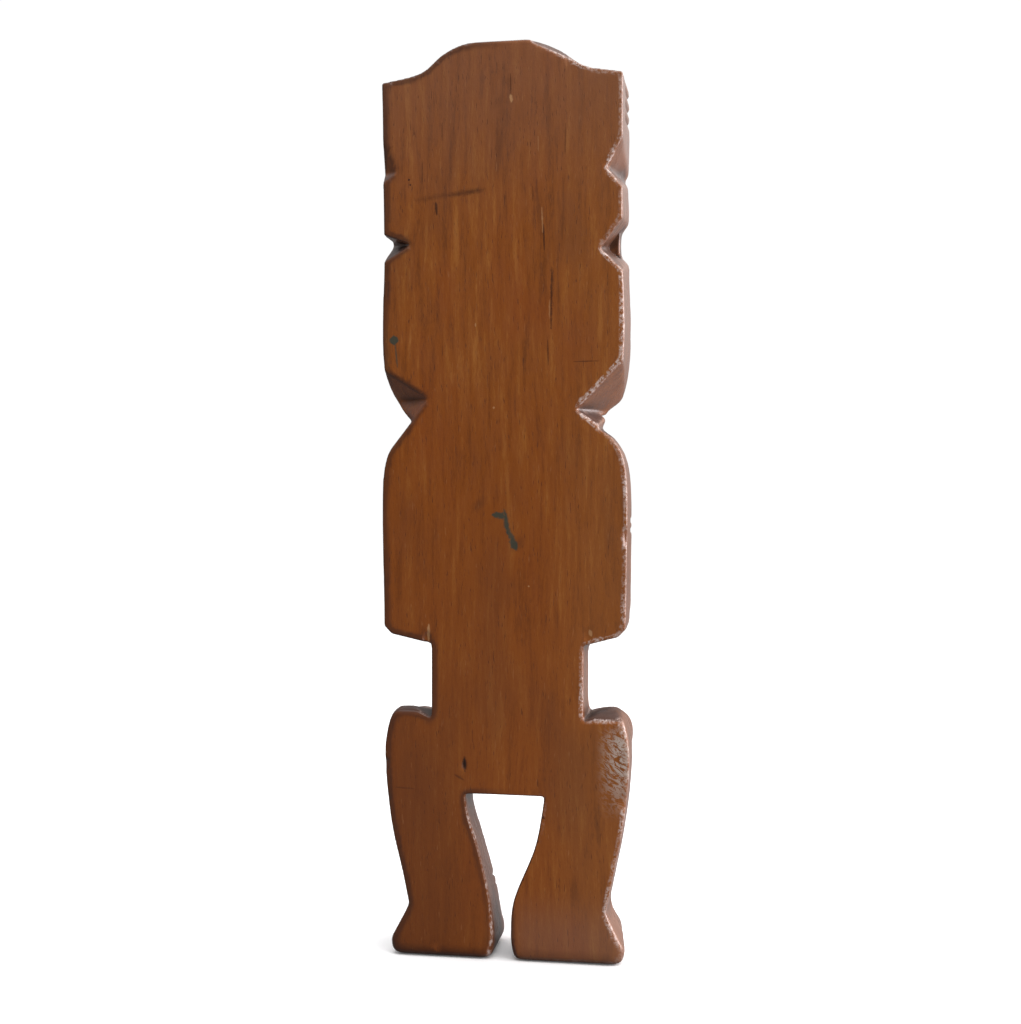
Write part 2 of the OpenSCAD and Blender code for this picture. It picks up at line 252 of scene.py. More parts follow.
def spiral(middle, radius, turns, start, way, steps=44, tightening=0.86):
    """Points along a coil that tightens towards its middle, from start in degrees."""
    points = []
    for i in range(steps + 1):
        share = i / steps
        a = math.radians(start) + way * 2 * math.pi * turns * share
        r = radius * (1.0 - tightening * share)
        points.append((middle[0] + r * math.cos(a), middle[1] + r * math.sin(a)))
    return points


class CarvedBlock:
    """The wood as signed distances on a grid: below zero inside, above zero outside."""

    def __init__(self, node, cell):
        mesh = node.data
        places = np.empty(len(mesh.vertices) * 3, np.float32)
        mesh.vertices.foreach_get("co", places)
        places = places.reshape(-1, 3) / MM
        mesh.calc_loop_triangles()
        corners = np.empty(len(mesh.loop_triangles) * 3, np.int32)
        mesh.loop_triangles.foreach_get("vertices", corners)
        places, same = np.unique(np.round(places, 4), axis=0, return_inverse=True)
        corners = same.reshape(-1)[corners].reshape(-1, 3).astype(np.uint32)
        self.cell = cell
        self.spacing = vdb.createLinearTransform(voxelSize=cell)
        solid = vdb.FloatGrid.createLevelSetFromPolygons(
            places.astype(np.float32), triangles=corners, transform=self.spacing,
            halfWidth=round(4.8 / cell))
        self.far = solid.background
        low, high = solid.evalActiveVoxelBoundingBox()
        self.low = np.array(low)
        self.values = np.empty([b - a + 1 for a, b in zip(low, high)], np.float32)
        solid.copyToArray(self.values, ijk=low)
        self.axes = [
            (self.low[i] + np.arange(self.values.shape[i], dtype=np.float32)) * cell
            for i in range(3)
        ]

    def window(self, low, high):
        """The part of the grid in a box: its slices, and X from the centre line, thickness and Z."""
        cuts = []
        for axis in range(3):
            start = np.searchsorted(self.axes[axis], low[axis])
            cuts.append(slice(int(start), int(np.searchsorted(self.axes[axis], high[axis])) + 1))
        x, y, z = (axis[cut] for axis, cut in zip(self.axes, cuts))
        return tuple(cuts), (
            x[:, None, None] - CENTRE_X, BACK_Y - y[None, :, None], z[None, None, :])

    def box(self, x0, x1, z0, z1, t0, t1=32.0):
        """A window by X from the centre line, Z, and thickness from the back."""
        return self.window(
            (CENTRE_X + min(x0, x1), BACK_Y - t1, z0), (CENTRE_X + max(x0, x1), BACK_Y - t0, z1))

    def add(self, where, shape, reach=1.0):
        cuts, (x, t, z) = where
        self.values[cuts] = soft_min(self.values[cuts], shape(x, t, z), reach)

    def take(self, where, shape, reach=0.6):
        cuts, (x, t, z) = where
        self.values[cuts] = soft_max(self.values[cuts], -shape(x, t, z), reach)

    def sink(self, where, depth_at):
        """Lowers the surface by a depth that depends on the place; a negative depth raises it."""
        cuts, (x, t, z) = where
        self.values[cuts] += depth_at(x, t, z)

    def line(self, points, depth, width, t0=12.0, t1=32.0, margin=3.0):
        """A V-shaped line cut along the points, on what stands forward of thickness t0."""
        xs, zs = [p[0] for p in points], [p[1] for p in points]
        where = self.box(
            min(xs) - margin, max(xs) + margin, min(zs) - margin, max(zs) + margin, t0, t1)

        def depth_at(x, t, z):
            gap = line_gap(x, z, points)
            return depth * np.clip(1.0 - gap / width, 0.0, 1.0) ** 0.8 * soft_step(t0, t0 + 1.5, t)

        self.sink(where, depth_at)

    def at(self, places):
        """Value at each place, in millimetres, between the grid's points."""
        spot = places / self.cell - self.low
        spot = np.clip(spot, 0.0, np.array(self.values.shape) - 1.001)
        base = spot.astype(int)
        part = (spot - base).astype(np.float32)
        total = np.zeros(len(places), np.float32)
        for corner in range(8):
            step = [(corner >> axis) & 1 for axis in range(3)]
            weight = np.ones(len(places), np.float32)
            for axis in range(3):
                weight *= part[:, axis] if step[axis] else 1.0 - part[:, axis]
            total += weight * self.values[tuple(base[:, a] + step[a] for a in range(3))]
        return total

    def slopes(self, places, step=0.5):
        """Direction out of the wood at each place."""
        out = np.empty((len(places), 3), np.float32)
        for axis in range(3):
            shift = np.zeros(3)
            shift[axis] = step
            out[:, axis] = self.at(places + shift) - self.at(places - shift)
        return out / (np.linalg.norm(out, axis=1, keepdims=True) + 1e-9)

    def surface(self, most_faces):
        """Points and triangles of the surface, as fine as most_faces allows."""
        solid = vdb.FloatGrid(self.far)
        solid.gridClass = vdb.GridClass.LEVEL_SET
        solid.transform = self.spacing
        solid.copyFromArray(self.values, ijk=[int(v) for v in self.low], tolerance=0)
        for coarseness in COARSENESS:
            points, triangles, squares = solid.convertToPolygons(
                isovalue=0.0, adaptivity=coarseness)
            if len(triangles) + 2 * len(squares) < most_faces:
                break
        else:
            raise RuntimeError("the carved wood needs more faces than it may have")
        squares = np.concatenate([squares[:, [0, 1, 2]], squares[:, [0, 2, 3]]])
        faces = np.concatenate([triangles, squares]).astype(np.int32)
        # Points that fall on each other become one, and the faces between them go
        points, same = np.unique(
            np.round(points.astype(np.float64), 4), axis=0, return_inverse=True)
        faces = same.reshape(-1)[faces]
        whole = (
            (faces[:, 0] != faces[:, 1]) & (faces[:, 1] != faces[:, 2])
            & (faces[:, 2] != faces[:, 0]))
        return points, faces[whole, ::-1]


def round_edges(block, sizes, random):
    """Softens the sawn edges: least round the flat back, most on the arms and legs."""
    values = block.values
    shape = values.shape
    crisp = smoothed(values, sizes.back_round / block.cell)
    soft = smoothed(values, sizes.face_round / block.cell)
    worn = uneven(random, shape, [c / block.cell for c in (9.0, 9.0, 14.0)])
    thickness = (BACK_Y - block.axes[1])[None, :, None]
    height = block.axes[2][None, None, :]
    across = np.abs(block.axes[0] - CENTRE_X)[:, None, None]
    handled = soft_step(22.0, 8.0, height) + soft_step(68.0, 76.0, height) * soft_step(
        88.0, 84.0, height) * soft_step(22.0, 30.0, across)
    share = np.clip(
        soft_step(3.0, 9.0, thickness) + 0.5 * np.maximum(worn, 0.0) + handled, 0.0, 1.0)
    values[:] = crisp + (soft - crisp) * share
    # The limbs and the belly are rounder than the face
    cuts, (_, t, z) = block.box(-60, 60, -20, 176, 8.0)
    softest = smoothed(values[cuts], sizes.limb_round / block.cell)
    share = soft_step(11.0, 15.0, t) * (1.0 - soft_step(166.0, 174.0, z))
    values[cuts] += (softest - values[cuts]) * share
    # The corners of the soles are worn the most
    cuts, (_, _, z) = block.box(-60, 60, -20, 16, -8.0)
    softest = smoothed(values[cuts], sizes.sole_round / block.cell)
    values[cuts] += (softest - values[cuts]) * soft_step(8.0, 3.0, z)


def carve_eyes(block, line_depth):
    """Bowls round the eyes, pointed lids, a ring line and the seats of the inlays."""
    for side in SIDES:
        middle = (side * EYE_X, EYE_Z)
        # The hollow runs up to the brow, the nose and the temple in a smooth bowl
        where = block.box(side * 2.0, side * 37.0, 232.0, 270.0, 17.0)

        def bowl(x, t, z):
            gap = np.hypot((x - middle[0]) / 1.08, z - middle[1]) - 9.8
            rise = np.clip(gap, 0.0, 9.0)
            floor = 20.3 + 0.085 * rise ** 2 + 0.12 * rise
            return 0.9 * (t - np.minimum(floor, 25.6))

        block.add(where, bowl, 2.2)
        # Pointed corners of the eyelids
        for way in SIDES:
            start = (middle[0] + way * 8.0, 20.6, middle[1])
            end = (middle[0] + way * 13.0, 20.4, middle[1] - 1.2 * way * side)
            block.add(
                where, lambda x, t, z, a=start, b=end: rod(x, t, z, a, b, 1.9, 0.7), 1.6)
        ring = arc(middle, 11.4, 0, 360, 40)
        block.line(ring, 0.55 * line_depth, 0.9, 18.5, margin=2.0)
        # Crisp seat for the inlay
        seat = block.box(middle[0] - 11, middle[0] + 11, EYE_Z - 11, EYE_Z + 11, 15.0)
        seat_t = BACK_Y - SHELL_SEAT
        block.take(
            seat,
            lambda x, t, z, m=middle: np.maximum(
                np.hypot(x - m[0], z - m[1]) - SHELL_R - 0.25, seat_t - t),
            0.3)


def carve_brow(block, line_depth):
    """The ridge and grooves of the brow, the combed hair and the forehead cuts."""
    for side in SIDES:
        ridge = [(side * 3.0, 261.0), (side * 14.0, 263.6), (side * 27.0, 267.4), (side * 41.0, 271.6)]
        where = block.box(0, side * 44.0, 255.0, 277.0, 16.0)
        block.sink(
            where,
            lambda x, t, z, p=ridge: -0.75 * np.exp(-(line_gap(x, z, p) / 2.0) ** 2)
            * soft_step(17.0, 20.0, t) * soft_step(39.0, 35.0, np.abs(x)))
        # The grooves of the brow, which run out through the side of the head
        for n in range(3):
            start = 266.6 + 4.2 * n
            path = [(side * 4.2, start), (side * 18.0, start + 3.9), (side * 43.0, start + 10.2)]
            block.line(path, 1.2 * line_depth, 1.15, 9.0)
        # Hair combed up over the dome
        for n in range(5):
            low = (side * (2.6 + 4.4 * n), 283.5 + 0.7 * n)
            high = (side * (2.0 + 3.9 * n), 303.0)
            block.line([low, high], 0.9 * line_depth, 1.0, 10.5, margin=2.0)
    # Small cuts down the middle of the forehead
    for n in range(5):
        z = 263.5 + 3.4 * n
        for side in SIDES:
            block.line([(0.0, z), (side * 2.4, z + 1.7)], 0.8 * line_depth, 0.8, 18.0, margin=2.0)


def carve_nose(block, line_depth):
    """The bridge, nostrils and the line under the nose."""
    where = block.box(-16, 16, 224, 262, 16.0)
    block.add(where, lambda x, t, z: rod(x, t, z, (0, 23.4, 258), (0, 24.6, 237), 2.6, 4.0), 2.4)
    for side in SIDES:
        block.add(where, lambda x, t, z, s=side: egg(x, t, z, (s * 6.6, 23.6, 236.6), (4.6, 4.9, 4.2)), 1.4)
    under = [(-13.4, 239.5), (-12.0, 234.4), (-8.0, 231.4), (0.0, 230.4), (8.0, 231.4), (12.0, 234.4),
             (13.4, 239.5)]
    block.line(under, 1.7 * line_depth, 1.7, 20.0)
    for side in SIDES:
        block.take(
            where,
            lambda x, t, z, s=side: egg(x, t, z, (s * 5.4, 27.6, 233.4), (1.9, 2.4, 1.5)), 0.6)


def mouth_gap(x, z):
    """Distance from the outline of the mouth: two round corners joined by a straight slot."""
    corners = np.minimum(np.hypot(x - MOUTH_X, z - MOUTH_Z), np.hypot(x + MOUTH_X, z - MOUTH_Z)) - MOUTH_R
    slot_x, slot_z = np.abs(x) - MOUTH_X, np.abs(z - MOUTH_Z + 1.5) - 4.5
    slot = np.minimum(np.maximum(slot_x, slot_z), 0.0) + np.hypot(
        np.maximum(slot_x, 0.0), np.maximum(slot_z, 0.0))
    return soft_min(corners, slot, 3.0)


def carve_mouth(block, line_depth):
    """Lips with lines round them, the tongue and the teeth."""
    where = block.box(-44, 44, 186, 231, 12.0)

    def lips(x, t, z):
        gap = mouth_gap(x, z)
        forward = soft_step(17.0, 19.0, t)
        lip = -0.8 * np.exp(-((gap - 2.1) / 1.5) ** 2)
        first = 1.3 * line_depth * np.clip(1.0 - np.abs(gap - 4.9) / 1.25, 0.0, 1.0)
        second = 0.9 * line_depth * np.clip(1.0 - np.abs(gap - 8.0) / 0.95, 0.0, 1.0)
        third = 0.7 * line_depth * np.clip(1.0 - np.abs(gap - 10.6) / 0.9, 0.0, 1.0)
        low_only = 1.0 - soft_step(216.0, 224.0, z)
        return forward * (lip + first + low_only * (second + third))

    block.sink(where, lips)
    inside = block.box(-28, 28, 198, 222, 14.0)
    # Tongue, rounded, over the lower lip
    block.add(inside, lambda x, t, z: egg(x, t, z, (0, 21.6, 206.0), (5.1, 5.2, 7.2)), 1.0)
    block.line([(0.0, 201.5), (0.0, 210.0)], 0.9 * line_depth, 0.9, 22.0, margin=2.0)
    # Teeth: blunt pegs that meet in each round corner
    for side in SIDES:
        for n, (x0, size) in enumerate(((9.4, 1.5), (13.2, 1.7), (17.4, 1.9), (21.4, 1.6))):
            reach_z = (3.4, 6.3, 8.2, 6.6)[n]
            for way in SIDES:
                root = (side * x0, 19.6, MOUTH_Z - (0.9 if n == 0 else 0.0) + way * reach_z)
                tip = (side * (x0 - 0.2), 20.2, MOUTH_Z - 0.6 + way * (1.9 if n else 1.2))
                block.add(
                    inside,
                    lambda x, t, z, a=root, b=tip, r=size: rod(x, t, z, a, b, r, 0.8 * r), 0.5)


def carve_trunk(block, line_depth):
    """Collar lines, ribs, belly and navel."""
    # Collar lines and ribs
    for n in range(2):
        block.line(arc((0.0, 186.0), 21.0 + 3.4 * n, 232, 308), line_depth, 1.0, 11.0)
    for n in range(4):
        for side in SIDES:
            z = 157.0 - 5.2 * n
            rib = [(side * 1.6, z), (side * 6.0, z - 0.6), (side * (13.6 + 0.4 * n), z + 2.0)]
            block.line(rib, 0.85 * line_depth, 1.1, 12.0)
    # Belly, round in every direction, with a ringed navel
    where = block.box(-20, 20, 88, 130, 12.0)

    def belly(x, t, z):
        share = np.clip((x * x + (z - BELLY_Z) ** 2) / BELLY_R ** 2, 0.0, 1.6)
        return 0.75 * (t - (18.0 + 9.2 * (1.0 - share)))

    block.add(where, belly, 2.0)
    block.line(arc((0.0, NAVEL_Z), 3.6, 0, 360, 24), 0.9 * line_depth, 0.9, 21.0, margin=2.0)
    block.take(
        where, lambda x, t, z: egg(x, t, z, (0, 27.6, NAVEL_Z), (1.5, 2.0, 1.5)), 0.8)


def carve_arms(block, line_depth):
    """Hands on the belly, wrist lines, and a coil and rings on each upper arm."""
    for side in SIDES:
        where = block.box(side * 3, side * 45, 100, 172, 8.0)
        # Three fingers, with the thumb above
        for n in (-1, 0, 1):
            z = HAND_Z + 4.5 * n
            block.add(
                where,
                lambda x, t, z_, s=side, h=z: rod(
                    x, t, z_, (s * 18.0, 22.6, h - 0.8), (s * 6.2, 23.4, h), 2.5, 2.1), 0.7)
        block.add(
            where,
            lambda x, t, z, s=side: rod(x, t, z, (s * 20.0, 21.5, 133.0), (s * 12.5, 21.6, 138.6), 2.5, 1.7),
            1.0)
        block.line([(side * 21.5, 119.5), (side * 19.6, 133.5)], line_depth, 1.0, 18.0)
        block.line([(side * 23.4, 118.0), (side * 21.5, 132.0)], 0.8 * line_depth, 0.9, 18.0)
        # Coil on the shoulder, and rings round the upper arm
        coil = spiral((side * 31.0, 157.0), 6.4, 1.7, 90 + side * 90, side)
        block.line(coil, line_depth, 0.95, 13.0)
        for n in range(2):
            z = 143.0 - 3.2 * n
            block.line(
                [(side * 22.6, z + 0.8), (side * 31.0, z - 1.2), (side * 43.0, z + 0.8)],
                0.9 * line_depth, 0.95, 12.0)


def carve_legs(block, line_depth):
    """Knee caps with coils, calves, ankle rings, toes and the line of the thigh."""
    for side in SIDES:
        where = block.box(side * 1, side * 45, -2, 90, 8.0)
        # Knee cap with a coil, calf and ankle
        block.add(
            where, lambda x, t, z, s=side: egg(x, t, z, (s * 30.2, 19.6, 71.5), (7.8, 7.6, 8.2)), 2.0)
        coil = spiral((side * 30.2, 71.0), 5.6, 1.6, 90 - side * 90, -side)
        block.line(coil, line_depth, 0.9, 18.0)
        block.add(
            where,
            lambda x, t, z, s=side: egg(x, t, z, (s * 25.4, 16.0, 42.0), (7.4, 6.6, 17.0)), 2.5)
        for n in range(2):
            z = 24.0 - 3.0 * n
            block.line(
                [(side * 5.0, z + 0.5), (side * 18.0, z - 1.2), (side * 38.0, z + 1.0)],
                0.8 * line_depth, 0.9, 12.0)
        # Toes
        for n in range(4):
            x0 = side * (7.0 + 8.5 * n)
            block.add(
                where,
                lambda x, t, z, a=x0: rod(x, t, z, (a, 17.0, 4.6), (a, 23.9, 3.9), 3.6, 3.7), 0.8)
        for n in range(3):
            x0 = side * (11.3 + 8.5 * n)
            block.take(
                where,
                lambda x, t, z, a=x0: rod(x, t, z, (a, 28.2, -1.0), (a, 26.4, 9.5), 1.25, 0.5), 0.8)
        # Line between the thigh and the hip
        block.line(
            [(side * 4.0, 80.0), (side * 12.0, 72.0), (side * 15.5, 58.0)], 0.9 * line_depth, 1.0, 9.0)


def wear_surfaces(block, sizes, random):
    """The marks of the knife on the front, slight unevenness all over, and old damage."""
    cell = block.cell
    shape = block.values.shape
    thickness = (BACK_Y - block.axes[1])[None, :, None]
    front = soft_step(4.0, 10.0, thickness)
    facets = np.abs(uneven(random, shape, [c / cell for c in (3.4, 4.0, 6.0)]))
    block.values += sizes.tool_marks * front * (facets - 0.4)
    block.values += 0.045 * uneven(random, shape, [c / cell for c in (9.0, 9.0, 42.0)])
    # Nicks along the edges of the back
    nicks = uneven(random, shape, [c / cell for c in (1.7, 1.7, 2.3)])
    wide = uneven(random, shape, [c / cell for c in (8.0, 8.0, 12.0)])
    strip = soft_step(0.0, 2.0, 2.2 - thickness)
    dent = np.clip(nicks - 0.85, 0.0, 0.8) * np.clip(wide + 0.35, 0.0, 1.0) * strip
    edge = np.clip(1.6 - np.abs(smoothed(block.values, 1.6 / cell) - block.values - 1.3), 0.0, 1.0)
    block.values += 1.3 * dent * edge
    # Chips and a worm-eaten knot: middle (X from the centre line, thickness, Z) and radii
    chips = (
        ((24.6, -0.2, 104.6), (1.5, 1.0, 2.6)),
        ((-28.2, -0.1, 106.4), (1.0, 0.5, 1.9)),
        ((12.3, -0.1, 63.6), (0.6, 0.8, 1.8)),
        ((38.6, 0.0, 63.0), (1.0, 0.9, 2.4)),
        ((-40.9, 0.4, 138.0), (0.9, 0.9, 3.0)),
    )
    for middle, radii in chips:
        x0, _, z0 = middle
        where = block.box(x0 - 4, x0 + 4, z0 - 5, z0 + 5, -3.0, 5.0)
        block.take(where, lambda x, t, z, m=middle, r=radii: egg(x, t, z, m, r), 0.35)


def attribute(mesh, name, values):
    """Stores one value for each point of the mesh, for the materials to read."""
    layer = mesh.attributes.new(name, "FLOAT", "POINT")
    layer.data.foreach_set("value", np.ascontiguousarray(values, np.float32))


def new_object(name, points, faces):
    """A new object from points in metres and faces that all have as many corners."""
    mesh = bpy.data.meshes.new(name)
    mesh.from_pydata([], [], [])
    mesh.vertices.add(len(points))
    mesh.vertices.foreach_set("co", np.ascontiguousarray(points, np.float32).ravel())
    mesh.loops.add(faces.size)
    mesh.loops.foreach_set("vertex_index", np.ascontiguousarray(faces, np.int32).ravel())
    mesh.polygons.add(len(faces))
    sides = faces.shape[1]
    mesh.polygons.foreach_set("loop_start", np.arange(0, faces.size, sides, dtype=np.int32))
    mesh.update(calc_edges=True)
    mesh.validate()
    piece = bpy.data.objects.new(name, mesh)
    bpy.context.scene.collection.objects.link(piece)
    return piece


def build_carved_wood(sizes):
    """The whole figure but its inlays, carved from the block of the frame."""
    random = np.random.default_rng(sizes.seed)
    block = CarvedBlock(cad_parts["carved_figure"], sizes.grid)
    round_edges(block, sizes, random)
    carve_brow(block, sizes.line_depth)
    carve_eyes(block, sizes.line_depth)
    carve_nose(block, sizes.line_depth)
    carve_mouth(block, sizes.line_depth)
    carve_trunk(block, sizes.line_depth)
    carve_arms(block, sizes.line_depth)
    carve_legs(block, sizes.line_depth)
    wear_surfaces(block, sizes, random)
    block.values = smoothed(block.values, 0.6)
    points, faces = block.surface(sizes.most_faces)
    piece = new_object("carved_wood", points * MM, faces)
    mesh = piece.data
    if len(mesh.vertices) != len(points):
        raise RuntimeError("the carved wood lost points while it was checked")
    slopes = block.slopes(points)
    near = smoothed(block.values, 1.1 / block.cell)
    wide = smoothed(near, 2.4 / block.cell)
    level = block.at(points)
    block.values = near
    fine = block.at(points) - level
    block.values = wide
    broad = block.at(points) - level
    attribute(mesh, "edge", np.clip(fine / 0.34, 0.0, 1.0))
    attribute(mesh, "hollow", np.clip(-0.6 * fine / 0.3 - 0.55 * broad / 0.9, 0.0, 1.0))
    mesh.polygons.foreach_set("use_smooth", np.ones(len(mesh.polygons), bool))
    mesh.normals_split_custom_set_from_vertices(slopes.tolist())
    return piece


# ---------------------------------------------------------------- inlays
def turned(name, profile, middle, steps, wobble=0.0, seed=0):
    """A turned piece about an axis along Y, through the profile's (radius, thickness) points."""
    random = np.random.default_rng(seed)
    phase = random.uniform(0.0, 2 * math.pi, 4)
    points, faces = [], []
    for i in range(steps):
        a = 2 * math.pi * i / steps
        uneven_r = sum(math.sin((k + 2) * a + phase[k]) / (k + 2) for k in range(4))
        for r, t in profile:
            radius = r * (1.0 + wobble * uneven_r)
            points.append((
                (middle[0] + radius * math.cos(a)) * MM, (BACK_Y - t) * MM,
                (middle[1] + radius * math.sin(a)) * MM))
    count = len(profile)
    for i in range(steps):
        for k in range(count):
            after, along = (i + 1) % steps, (k + 1) % count
            if profile[k][0] == profile[along][0] == 0.0:
                continue  # this side of the profile is the axis itself
            faces.append((i * count + k, i * count + along, after * count + along, after * count + k))
    return new_object(name, np.array(points), np.array(faces))


def close_ends(piece):
    """Merges the points on the axis, so that a peg is closed, and turns its faces outward."""
    shape = bmesh.new()
    shape.from_mesh(piece.data)
    bmesh.ops.remove_doubles(shape, verts=shape.verts, dist=1e-6)
    bmesh.ops.dissolve_degenerate(shape, edges=shape.edges, dist=1e-7)
    bmesh.ops.recalc_face_normals(shape, faces=shape.faces)
    shape.to_mesh(piece.data)
    shape.free()
    piece.data.polygons.foreach_set("use_smooth", np.ones(len(piece.data.polygons), bool))


def build_shell(side):
    """A slightly crowned ring of shell, which seats in the eye round its peg."""
    word = "left" if side == LEFT else "right"
    seat, front = BACK_Y - SHELL_SEAT, BACK_Y - SHELL_FRONT
    inner = 0.5 * (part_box(word + "_eye_pupil")[1][0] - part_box(word + "_eye_pupil")[0][0]) / MM + 0.06
    profile = [
        (SHELL_R, seat), (SHELL_R, front - 0.55), (SHELL_R - 0.12, front - 0.28),
        (SHELL_R - 0.42, front - 0.08), (SHELL_R - 1.2, front + 0.06),
        (0.5 * (SHELL_R + inner), front + 0.14), (inner + 0.9, front + 0.08),
        (inner + 0.3, front - 0.02), (inner + 0.06, front - 0.16), (inner, front - 0.45),
        (inner, seat),
    ]
    piece = turned(word + "_shell_ring", profile, (CENTRE_X + side * EYE_X, EYE_Z), 96, 0.006, 3 + side)
    close_ends(piece)
    radii = [
        math.hypot(v.co.x / MM - CENTRE_X - side * EYE_X, v.co.z / MM - EYE_Z)
        for v in piece.data.vertices
    ]
    attribute(piece.data, "edge", np.clip((np.array(radii) - SHELL_R + 0.9) / 0.7, 0.0, 1.0))
    attribute(piece.data, "hollow", np.clip((inner + 0.7 - np.array(radii)) / 0.7, 0.0, 1.0))
    return piece


def build_pupil(side):
    """A peg with a domed head, driven through the shell into the wood."""
    word = "left" if side == LEFT else "right"
    low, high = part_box(word + "_eye_pupil")
    radius = 0.5 * (high[0] - low[0]) / MM
    root, top = BACK_Y - high[1] / MM, BACK_Y - low[1] / MM
    shell_t = BACK_Y - SHELL_FRONT
    profile = [
        (0.0, root), (0.5 * radius, root), (radius - 0.3, root), (radius, root + 0.3),
        (radius, shell_t - 0.1), (radius - 0.05, shell_t + 0.12), (0.9 * radius, top - 0.46),
        (0.72 * radius, top - 0.22), (0.45 * radius, top - 0.07), (0.2 * radius, top - 0.01),
        (0.0, top),
    ]
    piece = turned(word + "_pupil_peg", profile, (CENTRE_X + side * EYE_X, EYE_Z), 48, 0.008, 11 + side)
    close_ends(piece)
    heights = np.array([BACK_Y - v.co.y / MM for v in piece.data.vertices])
    attribute(piece.data, "edge", np.clip((heights - top + 0.5) / 0.5, 0.0, 1.0))
    attribute(piece.data, "hollow", np.clip((shell_t + 0.3 - heights) / 0.5, 0.0, 1.0))
    return piece


# ---------------------------------------------------------------- finishes
class Shading:
    """Short calls for laying out shader nodes."""

    def __init__(self, tree):
        self.tree = tree

    def node(self, kind, inputs=None, **settings):
        made = self.tree.nodes.new(kind)
        for name, value in settings.items():
            setattr(made, name, value)
        for key, value in (inputs or {}).items():
            if isinstance(value, bpy.types.NodeSocket):
                self.tree.links.new(value, made.inputs[key])
            else:
                made.inputs[key].default_value = value
        return made

    def math(self, operation, *values, clamp=False):
        return self.node(
            "ShaderNodeMath", dict(enumerate(values)), operation=operation, use_clamp=clamp).outputs[0]

    def vector(self, operation, *values, out=0):
        made = self.node("ShaderNodeVectorMath", operation=operation)
        for index, value in enumerate(values):
            socket = made.inputs["Scale"] if operation == "SCALE" and index == 1 else made.inputs[index]
            if isinstance(value, bpy.types.NodeSocket):
                self.tree.links.new(value, socket)
            else:
                socket.default_value = value
        return made.outputs[out]

    def noise(self, place, scale, detail=2.0, roughness=0.5, distortion=0.0):
        return self.node(
            "ShaderNodeTexNoise",
            {"Vector": place, "Scale": scale, "Detail": detail, "Roughness": roughness,
             "Distortion": distortion}).outputs[0]

    def step(self, value, low, high, start=0.0, end=1.0):
        """Smooth step of value between low and high."""
        return self.node(
            "ShaderNodeMapRange",
            {"Value": value, "From Min": low, "From Max": high, "To Min": start, "To Max": end},
            interpolation_type="SMOOTHSTEP").outputs[0]

    def mix(self, share, a, b, blend="MIX"):
        made = self.node("ShaderNodeMix", data_type="RGBA", blend_type=blend)
        for index, value in ((0, share), (6, a), (7, b)):
            if isinstance(value, bpy.types.NodeSocket):
                self.tree.links.new(value, made.inputs[index])
            else:
                made.inputs[index].default_value = value
        return made.outputs[2]

    def group(self, tree, inputs):
        return self.node("ShaderNodeGroup", inputs, node_tree=tree)

    def attribute(self, name):
        return self.node("ShaderNodeAttribute", attribute_name=name).outputs["Fac"]

    def place(self):
        """Position on the object, in millimetres."""
        where = self.node("ShaderNodeTexCoord").outputs["Object"]
        return self.vector("SCALE", where, 1.0 / MM)


def effect(name, inputs, outputs):
    """A new node group with the given named sockets, its shading, inputs and output node."""
    tree = bpy.data.node_groups.new(name, "ShaderNodeTree")
    for label, kind, default in inputs:
        socket = tree.interface.new_socket(label, in_out="INPUT", socket_type=kind)
        if default is not None:
            socket.default_value = default
    for label, kind in outputs:
        tree.interface.new_socket(label, in_out="OUTPUT", socket_type=kind)
    shading = Shading(tree)
    taken = tree.nodes.new("NodeGroupInput").outputs
    given = tree.nodes.new("NodeGroupOutput").inputs
    return tree, shading, taken, given


FLOAT, VECTOR = "NodeSocketFloat", "NodeSocketVector"


def grain_effect():
    """Long streaks, pores and flecks of wood that runs up the figure."""
    tree, s, taken, given = effect(
        "Wood grain",
        [("Position", VECTOR, None), ("Streak width", FLOAT, 1.0), ("Pores", FLOAT, 1.0)],
        [("Figure", FLOAT), ("Streaks", FLOAT), ("Dark pores", FLOAT), ("Light flecks", FLOAT),
         ("Relief", FLOAT)])
    across = s.math("DIVIDE", 1.0, taken["Streak width"])
    sway = s.noise(s.vector("MULTIPLY", taken["Position"], (0.02, 0.02, 0.006)), 1.0, 2.0)
    shift = s.math("MULTIPLY", s.math("SUBTRACT", sway, 0.5), 9.0)
    place = s.vector("ADD", taken["Position"], s.node("ShaderNodeCombineXYZ", {"X": shift}).outputs[0])
    place = s.vector("SCALE", place, across)
    figure = s.noise(s.vector("MULTIPLY", place, (0.30, 0.30, 0.028)), 1.0, 4.0, 0.6, 0.4)
    streaks = s.noise(s.vector("MULTIPLY", place, (0.95, 0.95, 0.085)), 1.0, 3.0, 0.65, 0.3)
    fibres = s.noise(s.vector("MULTIPLY", place, (2.6, 2.6, 0.55)), 1.0, 3.0, 0.7)
    pores = s.noise(s.vector("MULTIPLY", place, (2.6, 2.6, 0.30)), 1.0, 1.0, 0.5)
    flecks = s.noise(s.vector("MULTIPLY", place, (2.1, 2.1, 0.24)), 1.0, 1.0, 0.5)
    dark = s.math("MULTIPLY", s.step(pores, 0.66, 0.78), taken["Pores"])
    light = s.math("MULTIPLY", s.step(flecks, 0.30, 0.20), taken["Pores"])
    both = s.math("ADD", s.math("MULTIPLY", streaks, 0.55), s.math("MULTIPLY", fibres, 0.45))
    relief = s.math("SUBTRACT", both, s.math("MULTIPLY", dark, 0.8))
    for label, value in (("Figure", figure), ("Streaks", both), ("Dark pores", dark),
                         ("Light flecks", light), ("Relief", relief)):
        s.tree.links.new(value, given[label])
    return tree


